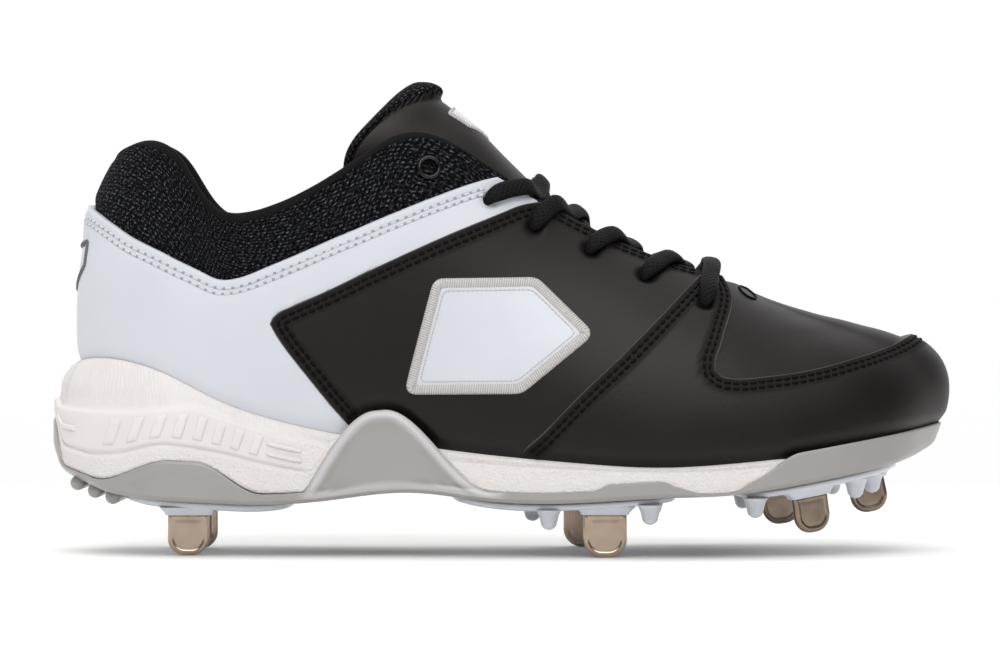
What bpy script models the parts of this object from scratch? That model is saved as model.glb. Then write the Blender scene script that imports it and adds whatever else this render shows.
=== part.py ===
"""Low-cut softball cleat with metal spikes, right shoe, built as a maker assembles it.

Lengths below are millimetres and become metres when a mesh is made. +X points to the toe, -Y to the
outer (lateral) side of the foot, +Z up. The heel and ball spikes stand on the plane z = 0.

The last is a loft. A ring of stations runs heel, lateral side, toe, medial side. At each station one
cubic arc climbs from the feather line, where upper meets sole, to the top line, which is the collar
and the throat. Every wall, panel and sole piece is worked out from that one surface.
"""

import math

import bmesh
import bpy
import numpy as np
from mathutils import Matrix, Vector

MM = 0.001

# Driving sizes of the last, each beside the size that the tables below were drawn at
LAST_LENGTH, DRAWN_LENGTH = 260.8, 260.8
BALL_WIDTH, DRAWN_BALL = 86.0, 86.0
HEEL_HEIGHT, DRAWN_HEEL = 83.5, 83.5

# Driving sizes of the build
UPPER_WALL = 2.2
COLLAR_PADDING = 4.6
COLLAR_PAD_FROM, COLLAR_PAD_FULL = 0.5, 0.85
PANEL_GAP = 0.6
PANEL_THICKNESS = 1.2
SEAT_GAP = 0.35
SOLE_CLEARANCE = 0.45
PANEL_SOLE_GAP = 1.1
OUTSOLE_FLOOR = 1.6
OUTSOLE_WALL = 2.2
OUTSOLE_EDGE = 3.0
INSOLE_THICKNESS = 4.0
INSOLE_INSET = 3.0
PLATE_THICKNESS = 2.6
PLATE_INSET = 5.0
SPIKE_THICKNESS = 2.6
LACE_WIDTH = 6.4
LACE_THICKNESS = 3.2
LACE_CLEARANCE = 0.6
LACE_SIDES, LACE_SECTIONS = 8, 8
LACE_TOEWARD = np.array([0.0, 0.10, 0.22])
LACE_BAR_ARCH = 2.0
LACE_TUCK_X, LACE_TUCK_SHARE = 6.2, 0.5

# Mesh of the foot: columns in each gap between stations at the heel, along the sides and at the toe,
# and rows from feather to top
HEEL_STATIONS, SIDE_STATIONS, TOE_STATIONS = (0, 2), (2, 12), (12, 15)
HEEL_COLUMNS, SIDE_COLUMNS, TOE_COLUMNS = 3, 2, 3
UPPER_ROWS = 8
PANEL_ROWS = 5
SEAM_ROWS = 7

# Sections of the last, heel to toe. The feather and top points are places, "rise" and "bulge" lift the
# arc up and out of the feather line, "drop" and "reach" bring it down and out of the top line, and
# "padding" is the share of the collar foam.
SECTION_COLUMNS = (
    "x", "lateral_y", "medial_y", "feather_z", "top_x", "top_lateral_y", "top_medial_y", "top_z",
    "rise", "bulge", "drop", "reach", "padding",
)
SECTIONS = {
    "heel_back": (-127, 0, 0, 38, -118.5, 0, 0, 121.5, 28, 6.5, 20, 14, 1.0),
    "heel_corner": (-120.3, -17.5, 17.5, 38, -112.5, -12.5, 12.5, 124.5, 28, 6, 20, 12, 1.0),
    "heel_side": (-105, -28, 28, 37.5, -100.5, -21, 21, 120, 28, 5, 24, 8, 1.0),
    "heel_front": (-90, -30.5, 30, 37, -91.5, -25, 25, 107, 26, 5, 22, 5, 1.0),
    "ankle_dip": (-74, -31.5, 29, 36, -81, -27.5, 27.5, 101.2, 25, 5, 20, 4, 1.0),
    "ankle": (-55, -32.5, 27, 34.5, -62, -29, 29, 107.2, 26, 5, 22, 3, 1.0),
    "collar_rise": (-38, -34, 26, 32.5, -43, -30, 30, 119.2, 28, 5, 26, 3, 0.8),
    "collar_peak": (-22, -36, 26.5, 30.5, -24, -28.5, 28.5, 126.6, 30, 5, 28, 6, 0.5),
    "collar_front": (-2, -38.5, 29.5, 28, 0.5, -21.5, 21.5, 115, 30, 5, 20, 11, 0.2),
    "throat": (22, -42, 35, 26, 22, -16.5, 16.5, 102, 28, 5, 13, 14, 0.0),
    "throat_low": (46, -44, 41, 25, 44, -14, 14, 91.2, 24, 5, 8, 17, 0.0),
    "throat_corner": (70, -42, 44, 26, 62, -11, 12, 85.4, 22, 6, 7, 18, 0.0),
    "vamp_side": (94.5, -36, 42, 29, 70.5, -6.5, 8, 83.4, 21, 6.5, 10, 20, 0.0),
    "toe_side": (116, -23.5, 34, 33.5, 72.5, -2.5, 5, 82.8, 27, 9.5, 14, 23, 0.0),
    "toe_corner": (128.3, -6, 22, 37, 73.2, 0, 3.5, 82.5, 33, 12.5, 16, 27, 0.0),
    "toe_tip": (133.8, 8, 8, 38.5, 73.5, 1.5, 1.5, 82.4, 36, 14.5, 16, 29, 0.0),
}
LENGTHWISE = ("x", "top_x")
CROSSWISE = ("lateral_y", "medial_y", "top_lateral_y", "top_medial_y", "bulge", "reach")
UPRIGHT = ("feather_z", "top_z", "rise", "drop")

# Sole heights at the same stations: underside of the outsole, rim of the foam, two moulded seams in the
# foam's side, and the flange, which is how far the sole stands out of the feather line
SOLE_COLUMNS = ("under", "rim", "seam_low", "seam_high", "flange")
SOLE = {
    "heel_back": (22, 59, 31.5, 46, 12.5),
    "heel_corner": (19.5, 60.3, 31.2, 45, 10.4),
    "heel_side": (17.2, 57, 32.2, 45, 7.8),
    "heel_front": (16.4, 49.3, 32.6, 46, 6.8),
    "ankle_dip": (15.8, 43, 29, 41.5, 6.4),
    "ankle": (17, 38.3, 25.5, 35, 6.1),
    "collar_rise": (19.2, 35.6, 24.5, 31, 6.0),
    "collar_peak": (19.3, 33.4, 24.2, 30, 6.0),
    "collar_front": (16.9, 31, 24, 28.5, 5.7),
    "throat": (16.8, 28.9, 23.5, 27, 5.5),
    "throat_low": (18.2, 27.6, 24, 26.3, 5.4),
    "throat_corner": (19.3, 28.9, 23.5, 27, 5.2),
    "vamp_side": (23, 31.5, 28, 30, 4.4),
    "toe_side": (27.2, 35.3, 32, 34, 3.8),
    "toe_corner": (31, 38.3, 35.5, 37, 3.4),
    "toe_tip": (33.6, 39.3, 37.5, 38.4, 3.2),
}
FOAM_BAND = 3.0
FOAM_SEAM_DEPTH = 0.9
FOAM_SEAM_ENDS = (-66, -50)

# Humps of the outsole's upper edge: it climbs on a quarter sine and falls on a smooth step
HUMP_COLUMNS = ("foot_back", "crown_back", "crown_front", "foot_front", "height")
OUTSOLE_HUMPS = {
    "heel_wrap": (-141, -140, -126, -118, 17.0),
    "heel_flank": (-117, -101, -92, -73, 9.6),
    "arch_wing": (-61, -39, -30, -4, 22.2),
    "ball_step": (27, 32, 47, 52, 2.2),
    "flex_notch": (50, 57, 69, 73, -0.8),
}
HEEL_UNDER_SLOPE, TOE_UNDER_SLOPE = -0.35, 0.5
TOE_WRAP_FROM, TOE_WRAP_FULL = 71, 88
TOE_WRAP_HEIGHT, TOE_WRAP_SLOPE = 32.0, 0.175

# Panel edges, drawn on the last: station counted from the heel, and share of the way from feather to top
COLLAR_SEAM = (
    (0, 0.80), (0.5, 0.768), (1.02, 0.717), (1.4, 0.68), (2.15, 0.667), (3.1, 0.71), (3.6, 0.723),
    (4.03, 0.74), (4.53, 0.777), (5.45, 0.783), (6.63, 0.76), (7.45, 0.837), (7.92, 0.97),
)
QUARTER_UPPER_EDGE = (
    (4.37, 0.492), (4.48, 0.53), (4.65, 0.553), (5.38, 0.587), (6.6, 0.61), (7.58, 0.723), (8.18, 0.873),
    (8.5, 0.98),
)
QUARTER_REAR_EDGE = ((4.37, 0.492), (4.45, 0.437), (4.75, 0.293), (5.18, 0.147), (5.53, 0.06), (5.7, 0.01))
TOE_GUARD_REAR_EDGE = (
    (10.9, 0.98), (10.73, 0.903), (10.1, 0.623), (9.58, 0.43), (9.05, 0.267), (8.62, 0.137), (8.3, 0.047),
    (8.2, 0.0),
)
TOE_GUARD_VAMP_EDGE = (
    (11.25, 0.98), (11.28, 0.837), (11.03, 0.7), (10.83, 0.57), (10.7, 0.457), (10.7, 0.407), (10.8, 0.377),
    (11.08, 0.363), (11.65, 0.38), (12.43, 0.383), (13.08, 0.38), (13.9, 0.38), (14.55, 0.397), (15, 0.405),
)
TOE_GUARD_BEND = (10.75, 0.39)
COUNTER_FAN = 3.2
QUARTER_COLUMNS, THROAT_COLUMNS, GUARD_COLUMNS = 11, 7, 18
LAST_METRIC = np.array([18.0, 85.0])
PANEL_SPACING_SHARE = 0.010
PANEL_SPACING_STATION = 0.045

# Laced holes from the toe up, and the reinforced top eyelet, as station and share
LACE_HOLES = ((10.75, 0.723), (9.93, 0.803), (9.2, 0.837), (8.4, 0.833), (7.8, 0.857))
TOP_EYELET = (7.05, 0.897)
EYELET_RADIUS, EYELET_WIRE = 3.0, 0.7

# Tongue, root to top: crown line, radius and half angle of its arched section, backward lean of the arch
TONGUE_COLUMNS = ("x", "crown_z", "radius", "half_angle", "lean", "thickness")
TONGUE = {
    "root": (84, 72.2, 42, 16, 0.0, 2.2),
    "base": (68, 79.0, 36, 22, 0.0, 2.6),
    "low": (44, 88.9, 30, 30, 0.0, 3.0),
    "mid": (22, 102.0, 24, 41, 0.0, 3.4),
    "neck": (3, 119.5, 21, 60, 0.1, 3.8),
    "collar": (-9, 130.0, 20.5, 74, 0.45, 4.6),
    "shoulder": (-17, 137.4, 21, 78, 0.8, 5.4),
    "top": (-22, 142.0, 21.5, 80, 1.0, 5.0),
    "roll": (-26.5, 144.4, 22, 80, 1.1, 2.4),
}
TONGUE_CENTRE_Y = 0.7
TONGUE_ROWS, TONGUE_ACROSS = 17, 9

# Cleat plates under the outsole: ends, width share, and the moulded nubs (x, share of the half width)
PLATES = {
    "heel_cleat_plate": {"back": -117, "front": -65, "width": 0.95, "nubs": ()},
    "ball_cleat_plate": {
        "back": -16, "front": 53, "width": 1.0,
        "nubs": ((13.5, -0.93), (44, -0.9), (47.5, 0.78), (9, 0.93)),
    },
    "toe_cleat_plate": {
        "back": 71, "front": 122, "width": 1.0,
        "nubs": ((76, -0.86), (107.5, -0.72), (113.5, -0.42), (76, 0.88), (104, 0.82)),
    },
}
PLATE_STATIONS = 13
PLATE_END_ROUND = 0.45
PLATE_EDGE = ((0.0, 0.0), (0.0, 0.55), (2.2, 1.0))
NUB_ROOT_RADIUS, NUB_TIP_RADIUS, NUB_LENGTH, NUB_SIDES = 3.4, 2.0, 5.2, 8
BOSS_MARGIN, BOSS_DEPTH, BOSS_HEIGHT, BOSS_TAPER = 5.0, 7.0, 1.6, 0.82
BUMP_SUNK = 1.2

# Metal spikes: plate they stand on, place, width, height of the tip above the floor, turn about the
# upright and lean in the side view (degrees)
SPIKE_COLUMNS = ("plate", "x", "y", "width", "tip_z", "turn", "lean")
SPIKES = {
    "spike_heel_lateral": ("heel_cleat_plate", -96.3, -20, 12.6, 0, 0, 0),
    "spike_heel_medial": ("heel_cleat_plate", -96.3, 20, 12.6, 0, 0, 0),
    "spike_ball_lateral": ("ball_cleat_plate", 30.5, -32, 13.2, 0, 0, 0),
    "spike_ball_medial": ("ball_cleat_plate", 25.5, 32, 13.2, 0, 0, 0),
    "spike_fore_lateral": ("toe_cleat_plate", 92.5, -25.5, 12.0, 7.4, 26, 9),
    "spike_fore_medial": ("toe_cleat_plate", 87.0, 31, 12.0, 7.4, -12, 9),
    "spike_toe": ("toe_cleat_plate", 112.5, 9, 11.6, 12.2, 8, 12),
}
SPIKE_CORNER_SHARE = 0.38
SPIKE_ARC_STEPS = 5

# Tread bars across the back of the heel, each with its axis this far below the outsole
HEEL_BARS_X = (-130.5, -124.8, -119.2)
HEEL_BAR_DEPTH, HEEL_BAR_RADIUS, HEEL_BAR_SIDES = 1.2, 2.3, 10
HEEL_BAR_WIDTH_SHARE = 0.8

COLOURS = {
    "black_leather": ((0.016, 0.015, 0.015), 0.45, 0.0),
    "white_leather": ((0.78, 0.80, 0.84), 0.4, 0.0),
    "black_mesh": ((0.010, 0.010, 0.012), 0.8, 0.0),
    "grey_rubber": ((0.36, 0.36, 0.35), 0.45, 0.0),
    "white_foam": ((0.82, 0.79, 0.78), 0.7, 0.0),
    "white_plastic": ((0.80, 0.83, 0.88), 0.35, 0.0),
    "spike_steel": ((0.52, 0.45, 0.37), 0.32, 1.0),
    "black_cord": ((0.012, 0.012, 0.013), 0.7, 0.0),
    "black_metal": ((0.05, 0.05, 0.05), 0.2, 1.0),
    "black_lining": ((0.02, 0.02, 0.02), 0.9, 0.0),
}


# Scene and materials


def clear_scene():
    for obj in list(bpy.data.objects):
        bpy.data.objects.remove(obj, do_unlink=True)


def new_collection(name):
    collection = bpy.data.collections.new(name)
    bpy.context.scene.collection.children.link(collection)
    return collection


def make_material(name):
    """Principled material of one of the shoe's finishes."""
    colour, roughness, metallic = COLOURS[name]
    material = bpy.data.materials.new(name)
    material.use_nodes = True
    shader = material.node_tree.nodes["Principled BSDF"]
    shader.inputs["Base Color"].default_value = (*colour, 1.0)
    shader.inputs["Roughness"].default_value = roughness
    shader.inputs["Metallic"].default_value = metallic
    return material


# The last


def smooth_step(value, low, high):
    t = np.clip((value - low) / (high - low), 0.0, 1.0)
    return t * t * (3.0 - 2.0 * t)


def around(lateral, medial):
    """Values heel to toe on the lateral side, then toe to heel on the medial side, as one ring."""
    return np.concatenate([lateral, medial[-2:0:-1]])


def last_rings():
    """Every column of both tables as a ring of stations, scaled to the driving sizes."""
    scale = dict.fromkeys(LENGTHWISE, LAST_LENGTH / DRAWN_LENGTH)
    scale |= dict.fromkeys(CROSSWISE, BALL_WIDTH / DRAWN_BALL)
    scale |= dict.fromkeys(UPRIGHT, HEEL_HEIGHT / DRAWN_HEEL)
    columns = {
        name: np.array([row[i] for row in SECTIONS.values()], float) * scale.get(name, 1.0)
        for i, name in enumerate(SECTION_COLUMNS)
    }
    columns |= {
        name: np.array([row[i] for row in SOLE.values()], float) for i, name in enumerate(SOLE_COLUMNS)
    }
    rings = {name: around(values, values) for name, values in columns.items()}
    rings["y"] = around(columns["lateral_y"], columns["medial_y"])
    rings["top_y"] = around(columns["top_lateral_y"], columns["top_medial_y"])
    return rings


RINGS = last_rings()
STATIONS = len(RINGS["x"])
TOE_STATION = STATIONS // 2


def column(name, station):
    """Smooth closed cubic through one column of the ring, read at any station."""
    values = RINGS[name]
    ahead, behind = np.roll(np.eye(STATIONS), 1, 1), np.roll(np.eye(STATIONS), -1, 1)
    slopes = np.linalg.solve(
        4.0 * np.eye(STATIONS) + ahead + behind, 3.0 * (np.roll(values, -1) - np.roll(values, 1))
    )
    station = np.asarray(station, float)
    first = np.floor(station).astype(int) % STATIONS
    second = (first + 1) % STATIONS
    s = station - np.floor(station)
    return (
        values[first] * (1 + 2 * s) * (1 - s) ** 2
        + slopes[first] * s * (1 - s) ** 2
        + values[second] * s * s * (3 - 2 * s)
        + slopes[second] * s * s * (s - 1)
    )


def outward(station):
    """Unit normal of the feather line in plan, pointing out of the foot."""
    step = 1e-3
    along_x = column("x", station + step) - column("x", station - step)
    along_y = column("y", station + step) - column("y", station - step)
    length = np.hypot(along_x, along_y)
    return np.stack([along_y / length, -along_x / length, np.zeros_like(length)], -1)


def last_point(station, share):
    """Point of the last: a cubic arc from the feather line (share 0) to the top line (share 1)."""
    station, share = np.broadcast_arrays(np.asarray(station, float), np.asarray(share, float))
    up = np.array([0.0, 0.0, 1.0])
    out = outward(station)
    feather = np.stack([column(name, station) for name in ("x", "y", "feather_z")], -1)
    top = np.stack([column(name, station) for name in ("top_x", "top_y", "top_z")], -1)
    low = feather + out * column("bulge", station)[..., None] + up * column("rise", station)[..., None]
    high = top + out * column("reach", station)[..., None] - up * column("drop", station)[..., None]
    s = share[..., None]
    return feather * (1 - s) ** 3 + 3 * low * s * (1 - s) ** 2 + 3 * high * s**2 * (1 - s) + top * s**3


def last_normal(station, share):
    """Unit normal of the last, pointing out."""
    step = 1e-3
    along = last_point(station + step, share) - last_point(station - step, share)
    climb = last_point(station, share + step) - last_point(station, share - step)
    normal = np.cross(along, climb)
    return normal / np.linalg.norm(normal, axis=-1, keepdims=True)


def wall_point(station, share, lift):
    """Point lifted off the last along its normal; a negative lift goes into the wall."""
    station, share = np.broadcast_arrays(np.asarray(station, float), np.asarray(share, float))
    return last_point(station, share) + last_normal(station, share) * np.asarray(lift)[..., None]


def wall_thickness(station, share):
    """Leather wall, thicker where foam pads the collar."""
    padding = np.clip(column("padding", station), 0.0, 1.0)
    return UPPER_WALL + COLLAR_PADDING * padding * smooth_step(share, COLLAR_PAD_FROM, COLLAR_PAD_FULL)


def share_at_height(station, height):
    """Share of the arc at which each station reaches a height, measured on the lower half."""
    shares = np.linspace(0.0, 0.6, 121)
    heights = last_point(np.asarray(station, float)[:, None], shares[None, :])[..., 2]
    return np.array([np.interp(h, row, shares) for h, row in zip(height, heights)])


def bulge_at_height(station, height):
    """How far the upper stands out of the feather line at a height."""
    share = share_at_height(station, height)
    across = last_point(station, share) - last_point(station, 0.0)
    return np.maximum(np.sum(across * outward(station), -1), 0.0)


# Mesh makers


def make_object(name, points, faces, material, collection):
    """Mesh object from points in millimetres, with doubles merged and triangles turned outwards."""
    mesh = bpy.data.meshes.new(name)
    mesh.from_pydata((np.asarray(points) * MM).tolist(), [], faces)
    work = bmesh.new()
    work.from_mesh(mesh)
    bmesh.ops.remove_doubles(work, verts=work.verts, dist=1e-6)
    bmesh.ops.recalc_face_normals(work, faces=work.faces)
    bmesh.ops.triangulate(work, faces=work.faces, quad_method="SHORT_EDGE")
    work.to_mesh(mesh)
    work.free()
    mesh.shade_smooth()
    mesh.set_sharp_from_angle(angle=math.radians(35))
    obj = bpy.data.objects.new(name, mesh)
    obj.data.materials.append(material)
    collection.objects.link(obj)
    return obj


def ring_quads(count, size, wrap):
    """Quads between neighbouring rings of one size; wrap joins the last ring to the first."""
    faces = []
    for k in range(count if wrap else count - 1):
        here, there = k * size, ((k + 1) % count) * size
        faces += [(here + i, here + (i + 1) % size, there + (i + 1) % size, there + i) for i in range(size)]
    return faces


def make_hollow(name, rings, material, collection):
    """Closed wall whose rings run up the outside, over the rim, down the inside and back."""
    rings = np.asarray(rings)
    faces = ring_quads(len(rings), rings.shape[1], True)
    return make_object(name, rings.reshape(-1, 3), faces, material, collection)


def cross_strip(start, size):
    """Faces that close a foot-shaped ring from its lateral to its medial half."""
    half = size // 2
    faces = [(start, start + 1, start + size - 1)]
    faces += [(start + i, start + i + 1, start + size - i - 1, start + size - i) for i in range(1, half - 1)]
    faces.append((start + half - 1, start + half, start + half + 1))
    return faces


def make_stack(name, rings, material, collection):
    """Foot-shaped solid from a stack of rings, closed across the first and the last."""
    rings = np.asarray(rings)
    count, size = rings.shape[:2]
    faces = ring_quads(count, size, False) + cross_strip(0, size) + cross_strip((count - 1) * size, size)
    return make_object(name, rings.reshape(-1, 3), faces, material, collection)


def make_sheet(name, face, back, material, collection):
    """Closed sheet between two grids of the same size, its face and its back."""
    loops = np.concatenate([face, back[:, ::-1]], axis=1)
    count, size = loops.shape[:2]
    faces = ring_quads(count, size, False)
    for start in (0, (count - 1) * size):
        end = start + size - 1
        faces += [(start + j, start + j + 1, end - 1 - j, end - j) for j in range(size // 2 - 1)]
    return make_object(name, loops.reshape(-1, 3), faces, material, collection)


def make_bar(name, loops, material, collection):
    """Solid lofted through closed loops, with a face on each end."""
    loops = np.asarray(loops)
    count, size = loops.shape[:2]
    faces = ring_quads(count, size, False)
    faces += [tuple(range(size)), tuple(range((count - 1) * size, count * size))]
    return make_object(name, loops.reshape(-1, 3), faces, material, collection)


def fuse(obj, helpers, helper_collection):
    """Boolean union of an object with helper solids, which are kept as hidden guides."""
    for helper in helpers:
        helper.hide_render = True
        helper.display_type = "WIRE"
        for collection in list(helper.users_collection):
            collection.objects.unlink(helper)
        helper_collection.objects.link(helper)
        union = obj.modifiers.new(f"join_{helper.name}", "BOOLEAN")
        union.operation = "UNION"
        union.object = helper


def smooth_path(points, count):
    """Points evenly spaced along a smooth curve through the given ones."""
    points = np.asarray(points, float)
    chords = np.linalg.norm(np.diff(points, axis=0), axis=1)
    knots = np.concatenate([[0.0], np.cumsum(chords)])
    slopes = np.gradient(points, knots, axis=0)
    at = np.linspace(0.0, knots[-1], 40 * len(points))
    i = np.clip(np.searchsorted(knots, at, side="right") - 1, 0, len(points) - 2)
    gap = (knots[i + 1] - knots[i])[:, None]
    s = ((at - knots[i]) / gap[:, 0])[:, None]
    fine = (
        points[i] * (1 + 2 * s) * (1 - s) ** 2
        + slopes[i] * gap * s * (1 - s) ** 2
        + points[i + 1] * s * s * (3 - 2 * s)
        + slopes[i + 1] * gap * s * s * (s - 1)
    )
    run = np.concatenate([[0.0], np.cumsum(np.linalg.norm(np.diff(fine, axis=0), axis=1))])
    even = np.linspace(0.0, run[-1], count)
    return np.stack([np.interp(even, run, fine[:, k]) for k in range(points.shape[1])], -1)


# Upper


def foot_ring():
    """Stations of the mesh columns, once round the foot."""
    spans = ((HEEL_STATIONS, HEEL_COLUMNS), (SIDE_STATIONS, SIDE_COLUMNS), (TOE_STATIONS, TOE_COLUMNS))
    runs = [np.arange((last - first) * per) / per + first for (first, last), per in spans]
    lateral = np.concatenate(runs + [[TOE_STATION]])
    return around(lateral, STATIONS - lateral)


def make_upper(material, collection):
    """One hollow wall, open below, at the collar and down the throat, with a rounded padded rim."""
    station = foot_ring()
    shares = np.linspace(0.0, 1.0, UPPER_ROWS)
    outside = [wall_point(station, share, np.zeros_like(station)) for share in shares]
    inside = [wall_point(station, share, -wall_thickness(station, share)) for share in shares]
    climb = outside[-1] - wall_point(station, 0.97, np.zeros_like(station))
    climb /= np.linalg.norm(climb, axis=-1, keepdims=True)
    rim_rise = climb * (0.42 * wall_thickness(station, 1.0))[:, None]
    rim = [outside[-1] * (1 - t) + inside[-1] * t + rim_rise for t in (0.27, 0.73)]
    return make_hollow("upper", outside + rim + inside[::-1], material, collection)


def sole_line(station):
    """Share at which the upper comes out of the sole."""
    height = np.maximum(column("rim", station), outsole_edge(station)) + PANEL_SOLE_GAP
    return share_at_height(station, height)


def along_sole(first, last, count):
    """Run of the sole line between two stations."""
    station = np.linspace(first, last, count)
    return np.stack([station, sole_line(station)], -1)


def edge_curve(table, count):
    """Smooth panel edge through (station, share) rows, evenly spaced over the last."""
    return smooth_path(np.asarray(table, float) * LAST_METRIC, count) / LAST_METRIC


def down_to_sole(table, count):
    """Panel edge that is cut off where it meets the sole line."""
    fine = edge_curve(table, 200)
    clear = fine[:, 1] - sole_line(fine[:, 0])
    last = int(np.flatnonzero(clear > 0)[-1])
    t = clear[last] / (clear[last] - clear[last + 1])
    return edge_curve(np.vstack([fine[: last + 1 : 8], fine[last] * (1 - t) + fine[last + 1] * t]), count)


def mirrored(edge):
    """The same edge on the medial side of the foot."""
    return np.stack([STATIONS - edge[:, 0], edge[:, 1]], -1)


def leather_sheet(name, station, share, material, collection):
    """Panel of leather over the last on a grid of stations and shares."""
    back = wall_point(station, share, np.full(station.shape, PANEL_GAP))
    face = wall_point(station, share, np.full(station.shape, PANEL_GAP + PANEL_THICKNESS))
    return make_sheet(name, face, back, material, collection)


def panel(name, lower, upper, material, collection):
    """Panel ruled between two edges, each a run of (station, share)."""
    t = np.linspace(0.0, 1.0, PANEL_ROWS)[None, :]
    station = lower[:, :1] * (1 - t) + upper[:, :1] * t
    share = lower[:, 1:] * (1 - t) + upper[:, 1:] * t
    return leather_sheet(name, station, share, material, collection)


def make_heel_counter(material, collection):
    """White counter round the heel, whose arms run up to the top laced eyelets on both sides."""
    rear = down_to_sole(QUARTER_REAR_EDGE, SEAM_ROWS)[::-1] - (PANEL_SPACING_STATION * 1.5, 0.0)
    rear[0] = along_sole(rear[0, 0], rear[0, 0], 1)[0]
    edge = edge_curve(QUARTER_UPPER_EDGE, QUARTER_COLUMNS)[1:] + (0.0, PANEL_SPACING_SHARE * 1.6)
    heel = foot_ring()
    heel = np.append(heel[heel < rear[0, 0] - 0.3], rear[0, 0])
    lower = np.concatenate([np.stack([heel, sole_line(heel)], -1), rear[1:], edge])
    seam = edge_curve(COLLAR_SEAM, 200)
    fan = int(np.argmin(np.abs(seam[:, 0] - COUNTER_FAN)))
    upper = np.concatenate([
        edge_curve(seam[: fan + 1 : 4], len(lower) - len(edge)), edge_curve(seam[fan::4], len(edge) + 1)[1:],
    ])
    lower = np.concatenate([mirrored(lower)[::-1] - (STATIONS, 0), lower[1:]])
    upper = np.concatenate([mirrored(upper)[::-1] - (STATIONS, 0), upper[1:]])
    return panel("heel_counter", lower, upper, material, collection)


def make_quarter(name, medial, material, collection):
    """Black side panel, pointed to the heel, from the sole line to the throat."""
    front = down_to_sole(TOE_GUARD_REAR_EDGE, SEAM_ROWS)[::-1] - (PANEL_SPACING_STATION, 0.0)
    front[0] = along_sole(front[0, 0], front[0, 0], 1)[0]
    rear = down_to_sole(QUARTER_REAR_EDGE, SEAM_ROWS)[::-1]
    edge = edge_curve(QUARTER_UPPER_EDGE, QUARTER_COLUMNS)
    t = np.linspace(0.0, 1.0, THROAT_COLUMNS)[1:, None]
    crest = np.concatenate([edge, edge[-1] * (1 - t) + front[-1] * t])
    sole = along_sole(rear[0, 0], front[0, 0], len(crest))
    columns = np.linspace(0.0, 1.0, len(crest))[:, None, None]
    rows = np.linspace(0.0, 1.0, SEAM_ROWS)[None, :, None]
    corners = (
        sole[0] * (1 - columns) * (1 - rows) + sole[-1] * columns * (1 - rows)
        + crest[0] * (1 - columns) * rows + crest[-1] * columns * rows
    )
    between_sides = rear[None] * (1 - columns) + front[None] * columns
    between_ends = sole[:, None] * (1 - rows) + crest[:, None] * rows
    grid = between_sides + between_ends - corners
    station = STATIONS - grid[..., 0] if medial else grid[..., 0]
    return leather_sheet(name, station, grid[..., 1], material, collection)


def make_toe_guard(material, collection):
    """Black guard round the toe, from one side of the lowest eyelets to the other."""
    seam = edge_curve(TOE_GUARD_VAMP_EDGE, 200)
    bend = int(np.argmin(np.linalg.norm((seam - TOE_GUARD_BEND) * LAST_METRIC, axis=1)))
    upper = np.concatenate([
        edge_curve(seam[: bend + 1 : 4], SEAM_ROWS), edge_curve(seam[bend::4], GUARD_COLUMNS)[1:],
    ])
    upper[-1] = TOE_GUARD_VAMP_EDGE[-1]
    rear = down_to_sole(TOE_GUARD_REAR_EDGE, SEAM_ROWS)
    lower = np.concatenate([rear, along_sole(rear[-1, 0], TOE_STATION, GUARD_COLUMNS)[1:]])
    lower = np.concatenate([lower, mirrored(lower)[::-1][1:]])
    upper = np.concatenate([upper, mirrored(upper)[::-1][1:]])
    return panel("toe_guard", lower, upper, material, collection)


# Sole


def outsole_edge(station):
    """Height of the outsole's upper edge: a low wall with humps, and the wrap over the toe."""
    x = column("x", station)
    edge = column("under", station) + OUTSOLE_EDGE
    for foot_back, crown_back, crown_front, foot_front, height in OUTSOLE_HUMPS.values():
        climb = np.sin(0.5 * np.pi * np.clip((x - foot_back) / (crown_back - foot_back), 0, 1))
        edge = edge + height * climb * (1 - smooth_step(x, crown_front, foot_front))
    wrap = TOE_WRAP_HEIGHT + TOE_WRAP_SLOPE * (x - TOE_WRAP_FULL)
    return edge + (wrap - edge) * smooth_step(x, TOE_WRAP_FROM, TOE_WRAP_FULL)


def underside(x):
    """Height of the outsole's underside at a place along the foot, straight beyond the feather line."""
    station = np.linspace(0.0, TOE_STATION, 200)
    xs, heights = column("x", station), column("under", station)
    past_heel, past_toe = np.minimum(x - xs[0], 0.0), np.maximum(x - xs[-1], 0.0)
    return np.interp(x, xs, heights) + HEEL_UNDER_SLOPE * past_heel + TOE_UNDER_SLOPE * past_toe


def floor_height(x):
    """Height of the outsole's floor."""
    return underside(x) + OUTSOLE_FLOOR


def sole_ring(station, offset, height):
    """Ring at an offset out of the feather line, at the given height."""
    ring = np.stack([column("x", station), column("y", station), np.zeros_like(station)], -1)
    ring = ring + outward(station) * np.broadcast_to(offset, station.shape)[:, None]
    ring[:, 2] = height(ring[:, 0]) if callable(height) else height
    return ring


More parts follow.
